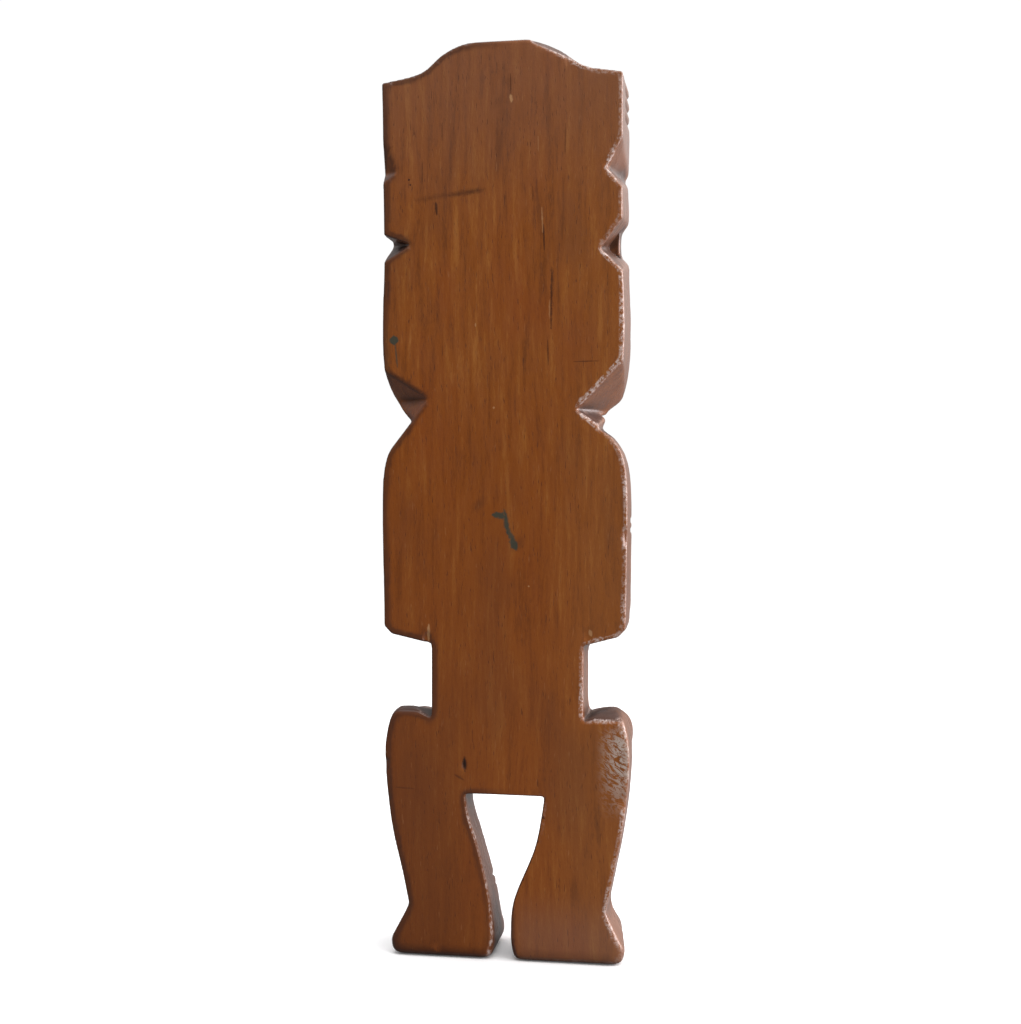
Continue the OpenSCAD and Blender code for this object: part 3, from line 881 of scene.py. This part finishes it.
def wear_effect():
    """Wear of the edges, broken up so that it comes and goes."""
    tree, s, taken, given = effect(
        "Edge wear",
        [("Position", VECTOR, None), ("Edge", FLOAT, 0.0), ("Amount", FLOAT, 0.5),
         ("Patch size", FLOAT, 4.0)],
        [("Mask", FLOAT)])
    patches = s.noise(taken["Position"], s.math("DIVIDE", 1.0, taken["Patch size"]), 4.0, 0.65)
    low = s.math("SUBTRACT", 1.0, taken["Amount"])
    total = s.math("ADD", s.math("MULTIPLY", taken["Edge"], 0.75), s.math("MULTIPLY", patches, 0.5))
    mask = s.step(s.math("SUBTRACT", total, low), 0.0, 0.32)
    s.tree.links.new(s.math("MULTIPLY", mask, s.step(taken["Edge"], 0.08, 0.4)), given["Mask"])
    return tree


def hollow_darkening_effect():
    """A darker tint that gathers in the hollows, in patches."""
    tree, s, taken, given = effect(
        "Hollow grime",
        [("Position", VECTOR, None), ("Hollow", FLOAT, 0.0), ("Amount", FLOAT, 0.8)],
        [("Mask", FLOAT)])
    patches = s.noise(taken["Position"], 0.35, 4.0, 0.6)
    mask = s.math("MULTIPLY", taken["Hollow"], s.step(patches, 0.1, 0.65, 0.55, 1.0))
    s.tree.links.new(s.math("MULTIPLY", mask, taken["Amount"], clamp=True), given["Mask"])
    return tree


def stroke_effect():
    """A ragged mark along a straight line on the back, tapered at both ends."""
    tree, s, taken, given = effect(
        "Mark along a line",
        [("Position", VECTOR, None), ("Start", VECTOR, None), ("End", VECTOR, None),
         ("Half width", FLOAT, 0.3), ("Softness", FLOAT, 0.3), ("Raggedness", FLOAT, 0.3)],
        [("Mask", FLOAT)])
    flat = s.vector("MULTIPLY", taken["Position"], (1.0, 0.0, 1.0))
    away = s.vector("SUBTRACT", flat, taken["Start"])
    run = s.vector("SUBTRACT", taken["End"], taken["Start"])
    share = s.math(
        "DIVIDE", s.vector("DOT_PRODUCT", away, run, out=1), s.vector("DOT_PRODUCT", run, run, out=1),
        clamp=True)
    gap = s.vector("LENGTH", s.vector("SUBTRACT", away, s.vector("SCALE", run, share)), out=1)
    ragged = s.math("SUBTRACT", s.noise(flat, 0.9, 3.0, 0.6), 0.5)
    gap = s.math("ADD", gap, s.math("MULTIPLY", ragged, taken["Raggedness"]))
    middle = s.math("ABSOLUTE", s.math("SUBTRACT", s.math("MULTIPLY", share, 2.0), 1.0))
    taper = s.math("SUBTRACT", 1.0, s.math("MULTIPLY", s.math("POWER", middle, 3.0), 0.75))
    width = s.math("MULTIPLY", taken["Half width"], taper)
    past = s.math("DIVIDE", s.math("SUBTRACT", gap, width), taken["Softness"])
    mask = s.step(past, 0.5, -0.5)
    on_back = s.step(s.node("ShaderNodeSeparateXYZ", {0: taken["Position"]}).outputs[1],
                     BACK_Y - 1.2, BACK_Y - 0.5)
    s.tree.links.new(s.math("MULTIPLY", mask, on_back), given["Mask"])
    return tree


# Marks on the flat back: start and end (X, Z), half width, softness, raggedness, strength
DARK_MARKS = (
    ((-2.3, 289.0), (-2.4, 282.0), 0.22, 0.35, 0.3, 0.55),
    ((29.0, 248.8), (17.0, 250.4), 0.5, 2.2, 2.4, 0.35),
    ((18.0, 250.0), (6.6, 251.6), 0.7, 1.8, 2.2, 0.6),
    ((22.6, 248.0), (22.2, 243.8), 0.42, 0.6, 0.5, 0.75),
    ((-13.2, 239.5), (-13.4, 231.2), 0.24, 0.4, 0.3, 0.75),
    ((-15.9, 225.6), (-15.6, 205.6), 0.32, 0.6, 1.1, 0.7),
    ((-14.5, 202.1), (-14.7, 193.9), 0.22, 0.4, 0.3, 0.6),
    ((-23.0, 194.9), (-31.2, 195.0), 0.18, 0.4, 0.3, 0.55),
    ((31.7, 255.9), (31.5, 255.4), 0.35, 0.3, 0.2, 0.9),
    ((31.2, 254.2), (31.1, 253.7), 0.3, 0.3, 0.2, 0.9),
    ((13.0, 66.0), (12.8, 61.6), 0.5, 0.9, 1.2, 0.85),
    ((16.4, 60.4), (13.2, 58.6), 0.3, 0.6, 0.5, 0.5),
    ((36.2, 55.5), (30.0, 55.2), 0.2, 0.6, 0.4, 0.4),
    ((27.0, 262.0), (27.2, 254.0), 0.2, 0.4, 0.3, 0.45),
    ((-9.6, 252.0), (-9.7, 247.0), 0.2, 0.4, 0.3, 0.45),
    ((20.4, 274.0), (20.5, 268.0), 0.2, 0.4, 0.3, 0.4),
    ((-20.4, 272.0), (-20.2, 262.0), 0.22, 0.5, 0.3, 0.4),
)
LIGHT_MARKS = (
    ((-2.4, 282.2), (-2.6, 279.8), 0.5, 0.5, 1.0, 0.85),
    ((-12.6, 245.0), (-12.9, 237.0), 0.16, 0.45, 0.6, 0.6),
    ((-15.2, 215.0), (-15.1, 209.0), 0.2, 0.5, 0.7, 0.5),
    ((-11.4, 268.0), (-11.5, 263.0), 0.14, 0.4, 0.6, 0.35),
    ((24.9, 109.4), (25.2, 103.9), 0.45, 0.5, 0.7, 0.85),
    ((-28.2, 108.2), (-28.7, 106.4), 0.6, 0.5, 0.6, 0.8),
    ((3.2, 180.6), (3.2, 180.0), 0.35, 0.35, 0.2, 0.7),
    ((-8.3, 122.4), (-8.3, 122.0), 0.3, 0.3, 0.2, 0.7),
    ((9.3, 208.0), (9.3, 206.8), 0.22, 0.3, 0.2, 0.6),
)
GREEN_MARKS = (
    ((36.9, 204.2), (36.5, 201.6), 1.5, 0.7, 1.1, 0.85),
    ((36.3, 201.6), (35.5, 193.9), 0.25, 0.5, 0.4, 0.7),
    ((3.6, 145.5), (-0.8, 144.8), 0.95, 0.8, 1.8, 0.85),
    ((-0.3, 147.0), (-1.5, 139.0), 0.75, 0.8, 1.6, 0.85),
    ((-1.2, 140.6), (-3.6, 136.6), 0.8, 0.8, 1.6, 0.8),
    ((-2.6, 137.8), (-4.2, 134.0), 1.15, 0.9, 1.8, 0.85),
)


def marks_mask(s, place, tree, marks):
    """The strongest of a list of marks, as one mask."""
    total = None
    for start, end, width, softness, raggedness, strength in marks:
        made = s.group(tree, {
            "Position": place, "Start": (start[0], 0.0, start[1]), "End": (end[0], 0.0, end[1]),
            "Half width": width, "Softness": softness, "Raggedness": raggedness})
        mask = s.math("MULTIPLY", made.outputs["Mask"], strength)
        total = mask if total is None else s.math("MAXIMUM", total, mask)
    return total


def new_material(name):
    """A new material, the calls that lay out its nodes, and its shader."""
    material = bpy.data.materials.new(name)
    material.use_nodes = True
    return material, Shading(material.node_tree), material.node_tree.nodes["Principled BSDF"]


def link(s, value, socket):
    s.tree.links.new(value, socket)


# Tints laid over the wood
RED_BLOTCH = (0.27, 0.062, 0.012, 1.0)
BROWN_BLOTCH = (0.15, 0.05, 0.02, 1.0)
RIGHT_SIDE_LIGHT = (0.30, 0.115, 0.032, 1.0)
LOW_LEFT_SHADE = (0.10, 0.032, 0.012, 1.0)
TOP_SHEEN = (0.235, 0.112, 0.070, 1.0)
WARM_HEART = (0.25, 0.052, 0.000, 1.0)
PORE = (0.06, 0.018, 0.008, 1.0)
FLECK = (0.45, 0.2, 0.08, 1.0)
KNIFE_STAIN_AND_SHADE = (0.060, 0.019, 0.013, 1.0)
UPWARD_DARK = (0.026, 0.011, 0.009, 1.0)
HOLLOW_DARK = (0.035, 0.013, 0.007, 1.0)
RUBBED = (0.36, 0.14, 0.055, 1.0)
RIGHT_EDGE_HIGHLIGHT = (0.72, 0.58, 0.53, 1.0)
LEFT_EDGE_SHADE = (0.045, 0.018, 0.013, 1.0)
CRACK = (0.022, 0.010, 0.008, 1.0)
SCUFF = (0.56, 0.47, 0.41, 1.0)
DUSTY_FOOT = (0.27, 0.16, 0.12, 1.0)

# Colours of the pegs
PEG_DARK = (0.010, 0.006, 0.004, 1.0)
PEG_LIGHT = (0.045, 0.020, 0.010, 1.0)


def varnished_wood(colours, grain, wear, hollow_darkening, stroke):
    """Streaked wood under old varnish: stained where it is cut, scuffed where worn, with painted light and
    shade on its sides and edges.
    """
    material, s, surface = new_material("Varnished wood")
    place = s.place()
    parts = s.node("ShaderNodeSeparateXYZ", {0: place})
    x, y, z = parts.outputs
    wood = s.group(grain, {"Position": place, "Streak width": 1.0, "Pores": 1.0}).outputs
    # Heartwood colour, from dull dark streaks to yellowish light ones
    blotches = s.noise(s.vector("MULTIPLY", place, (0.04, 0.04, 0.016)), 1.0, 3.0, 0.5)
    tone = s.math("ADD", s.math("MULTIPLY", wood["Streaks"], 0.5), s.math("MULTIPLY", wood["Figure"], 0.5))
    dark_share = s.step(tone, 0.51, 0.36, 0.0, 0.8)
    light_share = s.step(tone, 0.50, 0.65, 0.0, 0.8)
    colour = s.mix(dark_share, tuple(colours.wood_mid), tuple(colours.wood_dark))
    colour = s.mix(light_share, colour, tuple(colours.wood_light))
    colour = s.mix(s.step(blotches, 0.5, 0.68, 0.0, 0.4), colour, RED_BLOTCH)
    colour = s.mix(s.step(blotches, 0.48, 0.3, 0.0, 0.4), colour, BROWN_BLOTCH)
    # Painted light makes the right side paler, and painted shade makes the left of the legs darker
    colour = s.mix(s.step(x, -8.0, -36.0, 0.0, 0.22), colour, RIGHT_SIDE_LIGHT)
    low_left = s.math("MULTIPLY", s.step(x, -4.0, 26.0), s.step(z, 150.0, 0.0))
    colour = s.mix(s.math("MULTIPLY", low_left, 0.62), colour, LOW_LEFT_SHADE)
    # Painted sheen: the top of the head is paler and hazier
    colour = s.mix(s.step(z, 230.0, 294.0, 0.0, 0.38), colour, TOP_SHEEN)
    body = s.math("MULTIPLY", s.step(z, 205.0, 150.0, 0.0, 0.3), s.step(x, -30.0, -8.0))
    colour = s.mix(body, colour, WARM_HEART)
    colour = s.mix(s.math("MULTIPLY", wood["Dark pores"], 0.55), colour, PORE)
    colour = s.mix(s.math("MULTIPLY", wood["Light flecks"], 0.28), colour, FLECK)
    # The knife-cut faces took more stain and more varnish than the sawn back, and the left-facing ones are
    # darkened more as painted shade
    facing = s.node("ShaderNodeSeparateXYZ", {0: s.node("ShaderNodeNewGeometry").outputs["Normal"]}).outputs
    cut = s.step(facing[1], 0.97, 0.80)
    stain_and_left_shade = s.math("MULTIPLY", cut, s.step(facing[0], -0.35, 0.4, 0.22, 0.52))
    polished = s.math("MULTIPLY", cut, s.step(facing[0], 0.35, -0.15, 0.1, 1.0))
    colour = s.mix(stain_and_left_shade, colour, KNIFE_STAIN_AND_SHADE)
    # Upward-facing faces towards the front are darker, and the front is dulled by hands
    inward = s.step(y, BACK_Y - 24.0, BACK_Y - 8.0, 0.25, 0.8)
    upward_faces = s.math("MULTIPLY", s.step(facing[2], 0.35, 0.85), inward)
    colour = s.mix(upward_faces, colour, UPWARD_DARK)
    polished = s.math("MULTIPLY", polished, s.step(facing[1], -0.75, 0.1, 0.4, 1.0))
    polished = s.math("MULTIPLY", polished, s.math("SUBTRACT", 1.0, upward_faces))
    # Darker in the hollows, bare wood on the edges
    hollow_dark = s.group(hollow_darkening, {"Position": place, "Hollow": s.attribute("hollow"), "Amount": 0.85}).outputs[0]
    colour = s.mix(hollow_dark, colour, HOLLOW_DARK)
    rubbed = s.group(wear, {
        "Position": place, "Edge": s.attribute("edge"), "Amount": 0.36, "Patch size": 3.5}).outputs[0]
    bared = s.math("MULTIPLY", rubbed, s.step(y, BACK_Y - 1.0, BACK_Y - 6.0, 0.12, 0.42))
    colour = s.mix(bared, colour, RUBBED)
    # Edges of the back: a painted highlight, broken into crumbs, along the right, and a painted shade line
    # along the left
    edge = s.attribute("edge")
    near_back = s.step(y, BACK_Y - 4.0, BACK_Y - 1.5)
    highlight_crumbs = s.step(s.noise(place, 0.8, 5.0, 0.75), 0.42, 0.62)
    jaw = s.math(
        "MULTIPLY", s.step(z, JAW_LOW, JAW_LOW + 6.0), s.step(z, JAW_HIGH, JAW_HIGH - 12.0))
    patches = s.math("MAXIMUM", jaw, s.step(s.noise(place, 0.075, 2.0), 0.44, 0.60, 0.35, 1.0))
    highlight_crumbs = s.math("MULTIPLY", highlight_crumbs, patches)
    to_right, to_left = s.step(facing[0], -0.2, -0.5), s.step(facing[0], 0.2, 0.5)
    lit_side = s.math("MAXIMUM", s.step(x, -10.0, -24.0), to_right)
    lit_side = s.math("SUBTRACT", lit_side, to_left, clamp=True)
    shade_side = s.math("MAXIMUM", s.step(x, -6.0, 14.0), to_left)
    shade_side = s.math("SUBTRACT", shade_side, to_right, clamp=True)
    highlight_crumbs = s.math("MULTIPLY", s.math("MULTIPLY", highlight_crumbs, s.step(edge, 0.42, 0.8)), lit_side)
    highlight_crumbs = s.math("MULTIPLY", highlight_crumbs, near_back)
    # Painted highlight along the right edges of the back
    colour = s.mix(s.math("MULTIPLY", highlight_crumbs, 0.92), colour, RIGHT_EDGE_HIGHLIGHT)
    # Painted shade along the left edges of the back
    left_rim_shade = s.math("MULTIPLY", s.math("MULTIPLY", s.step(edge, 0.1, 0.6), near_back), shade_side)
    colour = s.mix(s.math("MULTIPLY", left_rim_shade, 0.6), colour, LEFT_EDGE_SHADE)
    # Old damage and paint on the back
    dark = marks_mask(s, place, stroke, DARK_MARKS)
    light = marks_mask(s, place, stroke, LIGHT_MARKS)
    green = marks_mask(s, place, stroke, GREEN_MARKS)
    colour = s.mix(light, colour, tuple(colours.raw_wood))
    colour = s.mix(dark, colour, CRACK)
    colour = s.mix(green, colour, tuple(colours.paint_spot))
    # Grey scuffs on the right leg and foot
    tilted = s.vector("MULTIPLY", s.node(
        "ShaderNodeMapping", {"Vector": place, "Rotation": (0.0, 0.6, 0.0)}).outputs[0], (0.24, 0.24, 0.55))
    scratches = s.step(s.noise(tilted, 1.0, 5.0, 0.78, 1.8), 0.46, 0.55)
    patch = s.math("MULTIPLY", s.step(x, -29.5, -38.0), s.math(
        "MULTIPLY", s.step(z, 45.0, 66.0), s.step(z, 79.0, 72.0)))
    on_back = s.step(y, BACK_Y - 1.2, BACK_Y - 0.4)
    scuffs = s.math("MULTIPLY", s.math("MULTIPLY", patch, scratches), on_back)
    foot = s.math("MULTIPLY", s.step(x, 0.0, -8.0), s.step(z, 26.0, 8.0))
    colour = s.mix(s.math("MULTIPLY", scuffs, 0.85), colour, SCUFF)
    colour = s.mix(s.math("MULTIPLY", foot, 0.28), colour, DUSTY_FOOT)
    link(s, colour, surface.inputs["Base Color"])
    # Varnish, thin on the edges and clotted in places
    clots = s.noise(s.vector("MULTIPLY", place, (0.35, 0.35, 0.12)), 1.0, 3.0, 0.6)
    gloss = s.math("ADD", s.step(clots, 0.3, 0.7, 0.34, 0.5), s.math("MULTIPLY", wood["Dark pores"], 0.15))
    gloss = s.math("ADD", gloss, s.math("MULTIPLY", s.math("MAXIMUM", hollow_dark, scuffs), 0.2))
    gloss = s.math("SUBTRACT", gloss, s.math("MULTIPLY", cut, 0.13))
    gloss = s.math("ADD", gloss, s.math("MULTIPLY", upward_faces, 0.4))
    link(s, gloss, surface.inputs["Roughness"])
    coat = s.math("ADD", 0.12, s.math("MULTIPLY", polished, 0.75))
    worn_through = s.math("MULTIPLY", s.math("MAXIMUM", dark, rubbed), 0.14)
    coat = s.math("SUBTRACT", coat, worn_through, clamp=True)
    link(s, coat, surface.inputs["Coat Weight"])
    surface.inputs["Coat Roughness"].default_value = 0.3
    surface.inputs["Specular IOR Level"].default_value = 0.24
    height = s.math("MULTIPLY", wood["Relief"], 0.55)
    height = s.math("ADD", height, s.math("MULTIPLY", s.noise(place, 0.9, 3.0, 0.6), 0.35))
    bump = s.node("ShaderNodeBump", {"Strength": 0.45, "Distance": 0.00022, "Height": height})
    link(s, bump.outputs[0], surface.inputs["Normal"])
    return material


def sea_shell(wear, hollow_darkening):
    """Green and blue shell with bands of growth, chalky at its rim."""
    material, s, surface = new_material("Sea shell")
    place = s.place()
    swirl = s.noise(s.vector("MULTIPLY", place, (0.16, 0.16, 0.24)), 1.0, 4.0, 0.6, 2.4)
    clouds = s.noise(s.vector("MULTIPLY", place, (0.5, 0.5, 0.8)), 1.0, 3.0, 0.6, 1.2)
    mixed = s.math("ADD", s.math("MULTIPLY", swirl, 0.7), s.math("MULTIPLY", clouds, 0.3))
    ramp = s.node("ShaderNodeValToRGB", {0: mixed})
    stops = (
        (0.30, (0.010, 0.045, 0.080, 1)), (0.40, (0.012, 0.150, 0.170, 1)),
        (0.47, (0.050, 0.300, 0.150, 1)), (0.53, (0.120, 0.330, 0.300, 1)),
        (0.60, (0.300, 0.160, 0.300, 1)), (0.70, (0.040, 0.080, 0.240, 1)),
    )
    ramp.color_ramp.elements[0].position = stops[0][0]
    ramp.color_ramp.elements[0].color = stops[0][1]
    ramp.color_ramp.elements[1].position = stops[-1][0]
    ramp.color_ramp.elements[1].color = stops[-1][1]
    for position, shade in stops[1:-1]:
        ramp.color_ramp.elements.new(position).color = shade
    growth = s.node(
        "ShaderNodeTexWave", {"Vector": place, "Scale": 0.32, "Distortion": 7.0, "Detail": 3.0,
                              "Detail Scale": 0.5},
        bands_direction="DIAGONAL").outputs["Fac"]
    colour = s.mix(s.step(growth, 0.8, 1.0, 0.0, 0.4), ramp.outputs[0], (0.03, 0.05, 0.05, 1.0))
    chalk = s.group(wear, {
        "Position": place, "Edge": s.attribute("edge"), "Amount": 0.35, "Patch size": 1.5}).outputs[0]
    colour = s.mix(s.math("MULTIPLY", chalk, 0.6), colour, (0.55, 0.53, 0.45, 1.0))
    # Darker in the hollow round the peg
    hollow_dark = s.group(hollow_darkening, {"Position": place, "Hollow": s.attribute("hollow"), "Amount": 0.8}).outputs[0]
    colour = s.mix(hollow_dark, colour, (0.03, 0.02, 0.012, 1.0))
    link(s, colour, surface.inputs["Base Color"])
    link(s, s.math("MULTIPLY", s.step(mixed, 0.3, 0.7, 0.2, 0.55), s.math("SUBTRACT", 1.0, chalk)),
         surface.inputs["Metallic"])
    link(s, s.math("ADD", s.step(swirl, 0.3, 0.7, 0.16, 0.3), s.math("MULTIPLY", chalk, 0.3)),
         surface.inputs["Roughness"])
    link(s, s.math("SUBTRACT", 0.9, s.math("MAXIMUM", chalk, hollow_dark), clamp=True),
         surface.inputs["Coat Weight"])
    surface.inputs["Coat Roughness"].default_value = 0.08
    bump = s.node("ShaderNodeBump", {
        "Strength": 0.3, "Distance": 0.0001, "Height": s.math("ADD", mixed, s.math("MULTIPLY", growth, 0.3))})
    link(s, bump.outputs[0], surface.inputs["Normal"])
    return material


def dark_wood(grain, wear, hollow_darkening):
    """Nearly black, close-grained wood with a rubbed head."""
    material, s, surface = new_material("Dark peg wood")
    place = s.place()
    turned_grain = s.vector("MULTIPLY", place, (1.0, 0.12, 8.0))
    wood = s.group(grain, {"Position": turned_grain, "Streak width": 0.35, "Pores": 0.8}).outputs
    colour = s.mix(s.step(wood["Streaks"], 0.35, 0.65), PEG_DARK, PEG_LIGHT)
    colour = s.mix(s.math("MULTIPLY", wood["Dark pores"], 0.7), colour, (0.004, 0.003, 0.002, 1.0))
    rubbed = s.group(wear, {
        "Position": place, "Edge": s.attribute("edge"), "Amount": 0.4, "Patch size": 1.2}).outputs[0]
    colour = s.mix(s.math("MULTIPLY", rubbed, 0.5), colour, (0.10, 0.045, 0.022, 1.0))
    # Darker low on the peg, where it meets the shell
    hollow_dark = s.group(hollow_darkening, {"Position": place, "Hollow": s.attribute("hollow"), "Amount": 0.7}).outputs[0]
    colour = s.mix(hollow_dark, colour, (0.012, 0.008, 0.006, 1.0))
    link(s, colour, surface.inputs["Base Color"])
    link(s, s.math("ADD", s.step(wood["Streaks"], 0.3, 0.7, 0.18, 0.32), s.math("MULTIPLY", hollow_dark, 0.3)),
         surface.inputs["Roughness"])
    link(s, s.math("SUBTRACT", 0.7, s.math("MULTIPLY", hollow_dark, 0.6), clamp=True),
         surface.inputs["Coat Weight"])
    surface.inputs["Coat Roughness"].default_value = 0.12
    bump = s.node("ShaderNodeBump", {"Strength": 0.3, "Distance": 0.0001, "Height": wood["Relief"]})
    link(s, bump.outputs[0], surface.inputs["Normal"])
    return material


def finishes():
    """The three materials, made once with the effects that they share."""
    if "Varnished wood" not in bpy.data.materials:
        grain, wear, hollow_darkening, stroke = grain_effect(), wear_effect(), hollow_darkening_effect(), stroke_effect()
        varnished_wood(bpy.context.scene.finish_colours, grain, wear, hollow_darkening, stroke)
        sea_shell(wear, hollow_darkening)
        dark_wood(grain, wear, hollow_darkening)
    return bpy.data.materials


# ---------------------------------------------------------------- studio
def pale_floor(size):
    """A plain floor under the figure."""
    steps = 24
    span = np.linspace(-0.5 * size, 0.5 * size, steps + 1)
    points = np.array([(x, y, 0.0) for y in span for x in span])
    row = steps + 1
    faces = np.array([
        (j * row + i, j * row + i + 1, (j + 1) * row + i + 1, (j + 1) * row + i)
        for j in range(steps) for i in range(steps)
    ])
    floor = new_object("floor", points, faces)
    material, s, surface = new_material("Pale floor")
    place = s.node("ShaderNodeTexCoord").outputs["Object"]
    tint = s.step(s.noise(place, 3.0, 3.0), 0.3, 0.7)
    pale = s.mix(tint, (0.93, 0.93, 0.93, 1.0), (0.96, 0.96, 0.965, 1.0))
    # A lit white floor would flood the wood from below, so as a light it is grey
    seen = s.node("ShaderNodeLightPath").outputs["Is Camera Ray"]
    link(s, s.mix(seen, (0.22, 0.22, 0.22, 1.0), pale), surface.inputs["Base Color"])
    surface.inputs["Roughness"].default_value = 0.9
    surface.inputs["Specular IOR Level"].default_value = 0.0
    surface.inputs["Emission Color"].default_value = (1.0, 1.0, 1.0, 1.0)
    link(s, s.math("MULTIPLY", seen, 0.07), surface.inputs["Emission Strength"])
    floor.data.materials.append(material)


def soft_sky():
    """White to the camera. As light it is bright above and to the right, and dim ahead."""
    world = bpy.data.worlds.new("soft sky")
    bpy.context.scene.world = world
    world.use_nodes = True
    s = Shading(world.node_tree)
    background = world.node_tree.nodes["Background"]
    way = s.node("ShaderNodeTexCoord").outputs["Generated"]
    x, y, z = s.node("ShaderNodeSeparateXYZ", {0: way}).outputs
    above = s.step(z, -0.05, 0.8, 0.12, 1.1)
    beside = s.step(x, 0.2, -0.95, 0.0, 0.75)
    light = s.math("ADD", above, beside)
    light = s.math("MULTIPLY", light, s.step(y, 0.35, 0.95, 1.0, 0.25))
    seen = s.node("ShaderNodeLightPath").outputs["Is Camera Ray"]
    power = s.node("ShaderNodeMix", {0: seen, 2: light, 3: 1.02}, data_type="FLOAT").outputs[0]
    background.inputs["Color"].default_value = (1.0, 1.0, 1.0, 1.0)
    s.tree.links.new(power, background.inputs["Strength"])


def soft_box(name, place, aim, width, height, power, tint):
    """A rectangular light, hidden from the camera, that faces its aim."""
    lamp = bpy.data.lights.new(name, "AREA")
    lamp.shape = "RECTANGLE"
    lamp.size, lamp.size_y = width, height
    lamp.energy = power
    lamp.color = tint
    holder = bpy.data.objects.new(name, lamp)
    holder.location = place
    holder.visible_camera = False
    holder.rotation_euler = (aim - Vector(place)).to_track_quat("-Z", "Y").to_euler()
    bpy.context.scene.collection.objects.link(holder)


def camera(studio):
    """The camera, behind the figure and turned a little to its right."""
    aim = Vector((CENTRE_X, BACK_Y, AIM_Z)) * MM
    lens = bpy.data.cameras.new("camera")
    lens.lens = LENS
    lens.sensor_width = SENSOR
    lens.shift_x, lens.shift_y = SHIFT
    lens.clip_end = SIGHT
    holder = bpy.data.objects.new("camera", lens)
    away = Vector((-math.sin(studio.turn), math.cos(studio.turn), 0.0)) * studio.distance
    holder.location = aim + away
    holder.rotation_euler = (-away).to_track_quat("-Z", "Y").to_euler()
    bpy.context.scene.collection.objects.link(holder)
    bpy.context.scene.camera = holder


# ---------------------------------------------------------------- operators
def dress(piece, material, node):
    """Gives a piece its finish, ties it to the body, and hides the node it stands for."""
    piece.data.materials.clear()
    piece.data.materials.append(finishes()[material])
    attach(piece, "root")
    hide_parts(node)


class CarveWood(bpy.types.Operator):
    """Carve the whole figure from the sawn block, and varnish it"""
    bl_idname = "carved_figure.wood"
    bl_label = "Carved wood"

    def execute(self, context):
        piece = build_carved_wood(context.scene.figure_sizes)
        dress(piece, "Varnished wood", "carved_figure")
        return {"FINISHED"}


class InlayShells(bpy.types.Operator):
    """Set a ring of sea shell in each eye"""
    bl_idname = "carved_figure.shells"
    bl_label = "Shell rings"

    def execute(self, context):
        for side, word in ((LEFT, "left"), (RIGHT, "right")):
            dress(build_shell(side), "Sea shell", word + "_eye_shell")
        return {"FINISHED"}


class InlayPupils(bpy.types.Operator):
    """Drive a dark peg through the middle of each shell ring"""
    bl_idname = "carved_figure.pupils"
    bl_label = "Pupil pegs"

    def execute(self, context):
        for side, word in ((LEFT, "left"), (RIGHT, "right")):
            dress(build_pupil(side), "Dark peg wood", word + "_eye_pupil")
        return {"FINISHED"}


class SetStage(bpy.types.Operator):
    """Lay the pale floor, and set the lights and the camera"""
    bl_idname = "carved_figure.stage"
    bl_label = "Studio"

    def execute(self, context):
        studio = context.scene.studio_sizes
        camera(studio)
        pale_floor(studio.floor_size)
        soft_sky()
        aim = Vector((0.0, 0.0, AIM_Z * MM))
        soft_box("key", (-0.85, 0.55, 0.75), aim, 0.7, 0.9, studio.key_power, (1.0, 0.97, 0.96))
        soft_box("top", (-0.1, 0.15, 1.3), aim, 1.0, 1.0, studio.top_power, (0.98, 0.98, 1.0))
        soft_box("window", (-1.25, -0.40, 0.35), aim, 0.9, 1.0, studio.window_power, (1.0, 0.90, 0.92))
        context.scene.view_settings.view_transform = "Standard"
        return {"FINISHED"}


class FigurePanel(bpy.types.Panel):
    """Makes the pieces of the carved figure"""
    bl_idname = "VIEW3D_PT_carved_figure"
    bl_label = "Carved figure"
    bl_space_type = "VIEW_3D"
    bl_region_type = "UI"
    bl_category = PANEL_TAB

    def draw(self, context):
        for settings in ("figure_sizes", "finish_colours", "studio_sizes"):
            group = getattr(context.scene, settings)
            box = self.layout.box()
            for name in group.__annotations__:
                box.prop(group, name)
        for maker in MAKERS:
            self.layout.operator(maker.bl_idname)


MAKERS = (CarveWood, InlayShells, InlayPupils, SetStage)
CLASSES = (FigureSizes, FinishColours, StudioSizes) + MAKERS + (FigurePanel,)


def register():
    for entry in CLASSES:
        bpy.utils.register_class(entry)
    bpy.types.Scene.figure_sizes = PointerProperty(type=FigureSizes)
    bpy.types.Scene.finish_colours = PointerProperty(type=FinishColours)
    bpy.types.Scene.studio_sizes = PointerProperty(type=StudioSizes)


def unregister():
    for name in ("studio_sizes", "finish_colours", "figure_sizes"):
        delattr(bpy.types.Scene, name)
    for entry in reversed(CLASSES):
        bpy.utils.unregister_class(entry)


def main():
    register()
    for maker in MAKERS:
        family, name = maker.bl_idname.split(".")
        getattr(getattr(bpy.ops, family), name)()


if __name__ == "__main__":
    main()
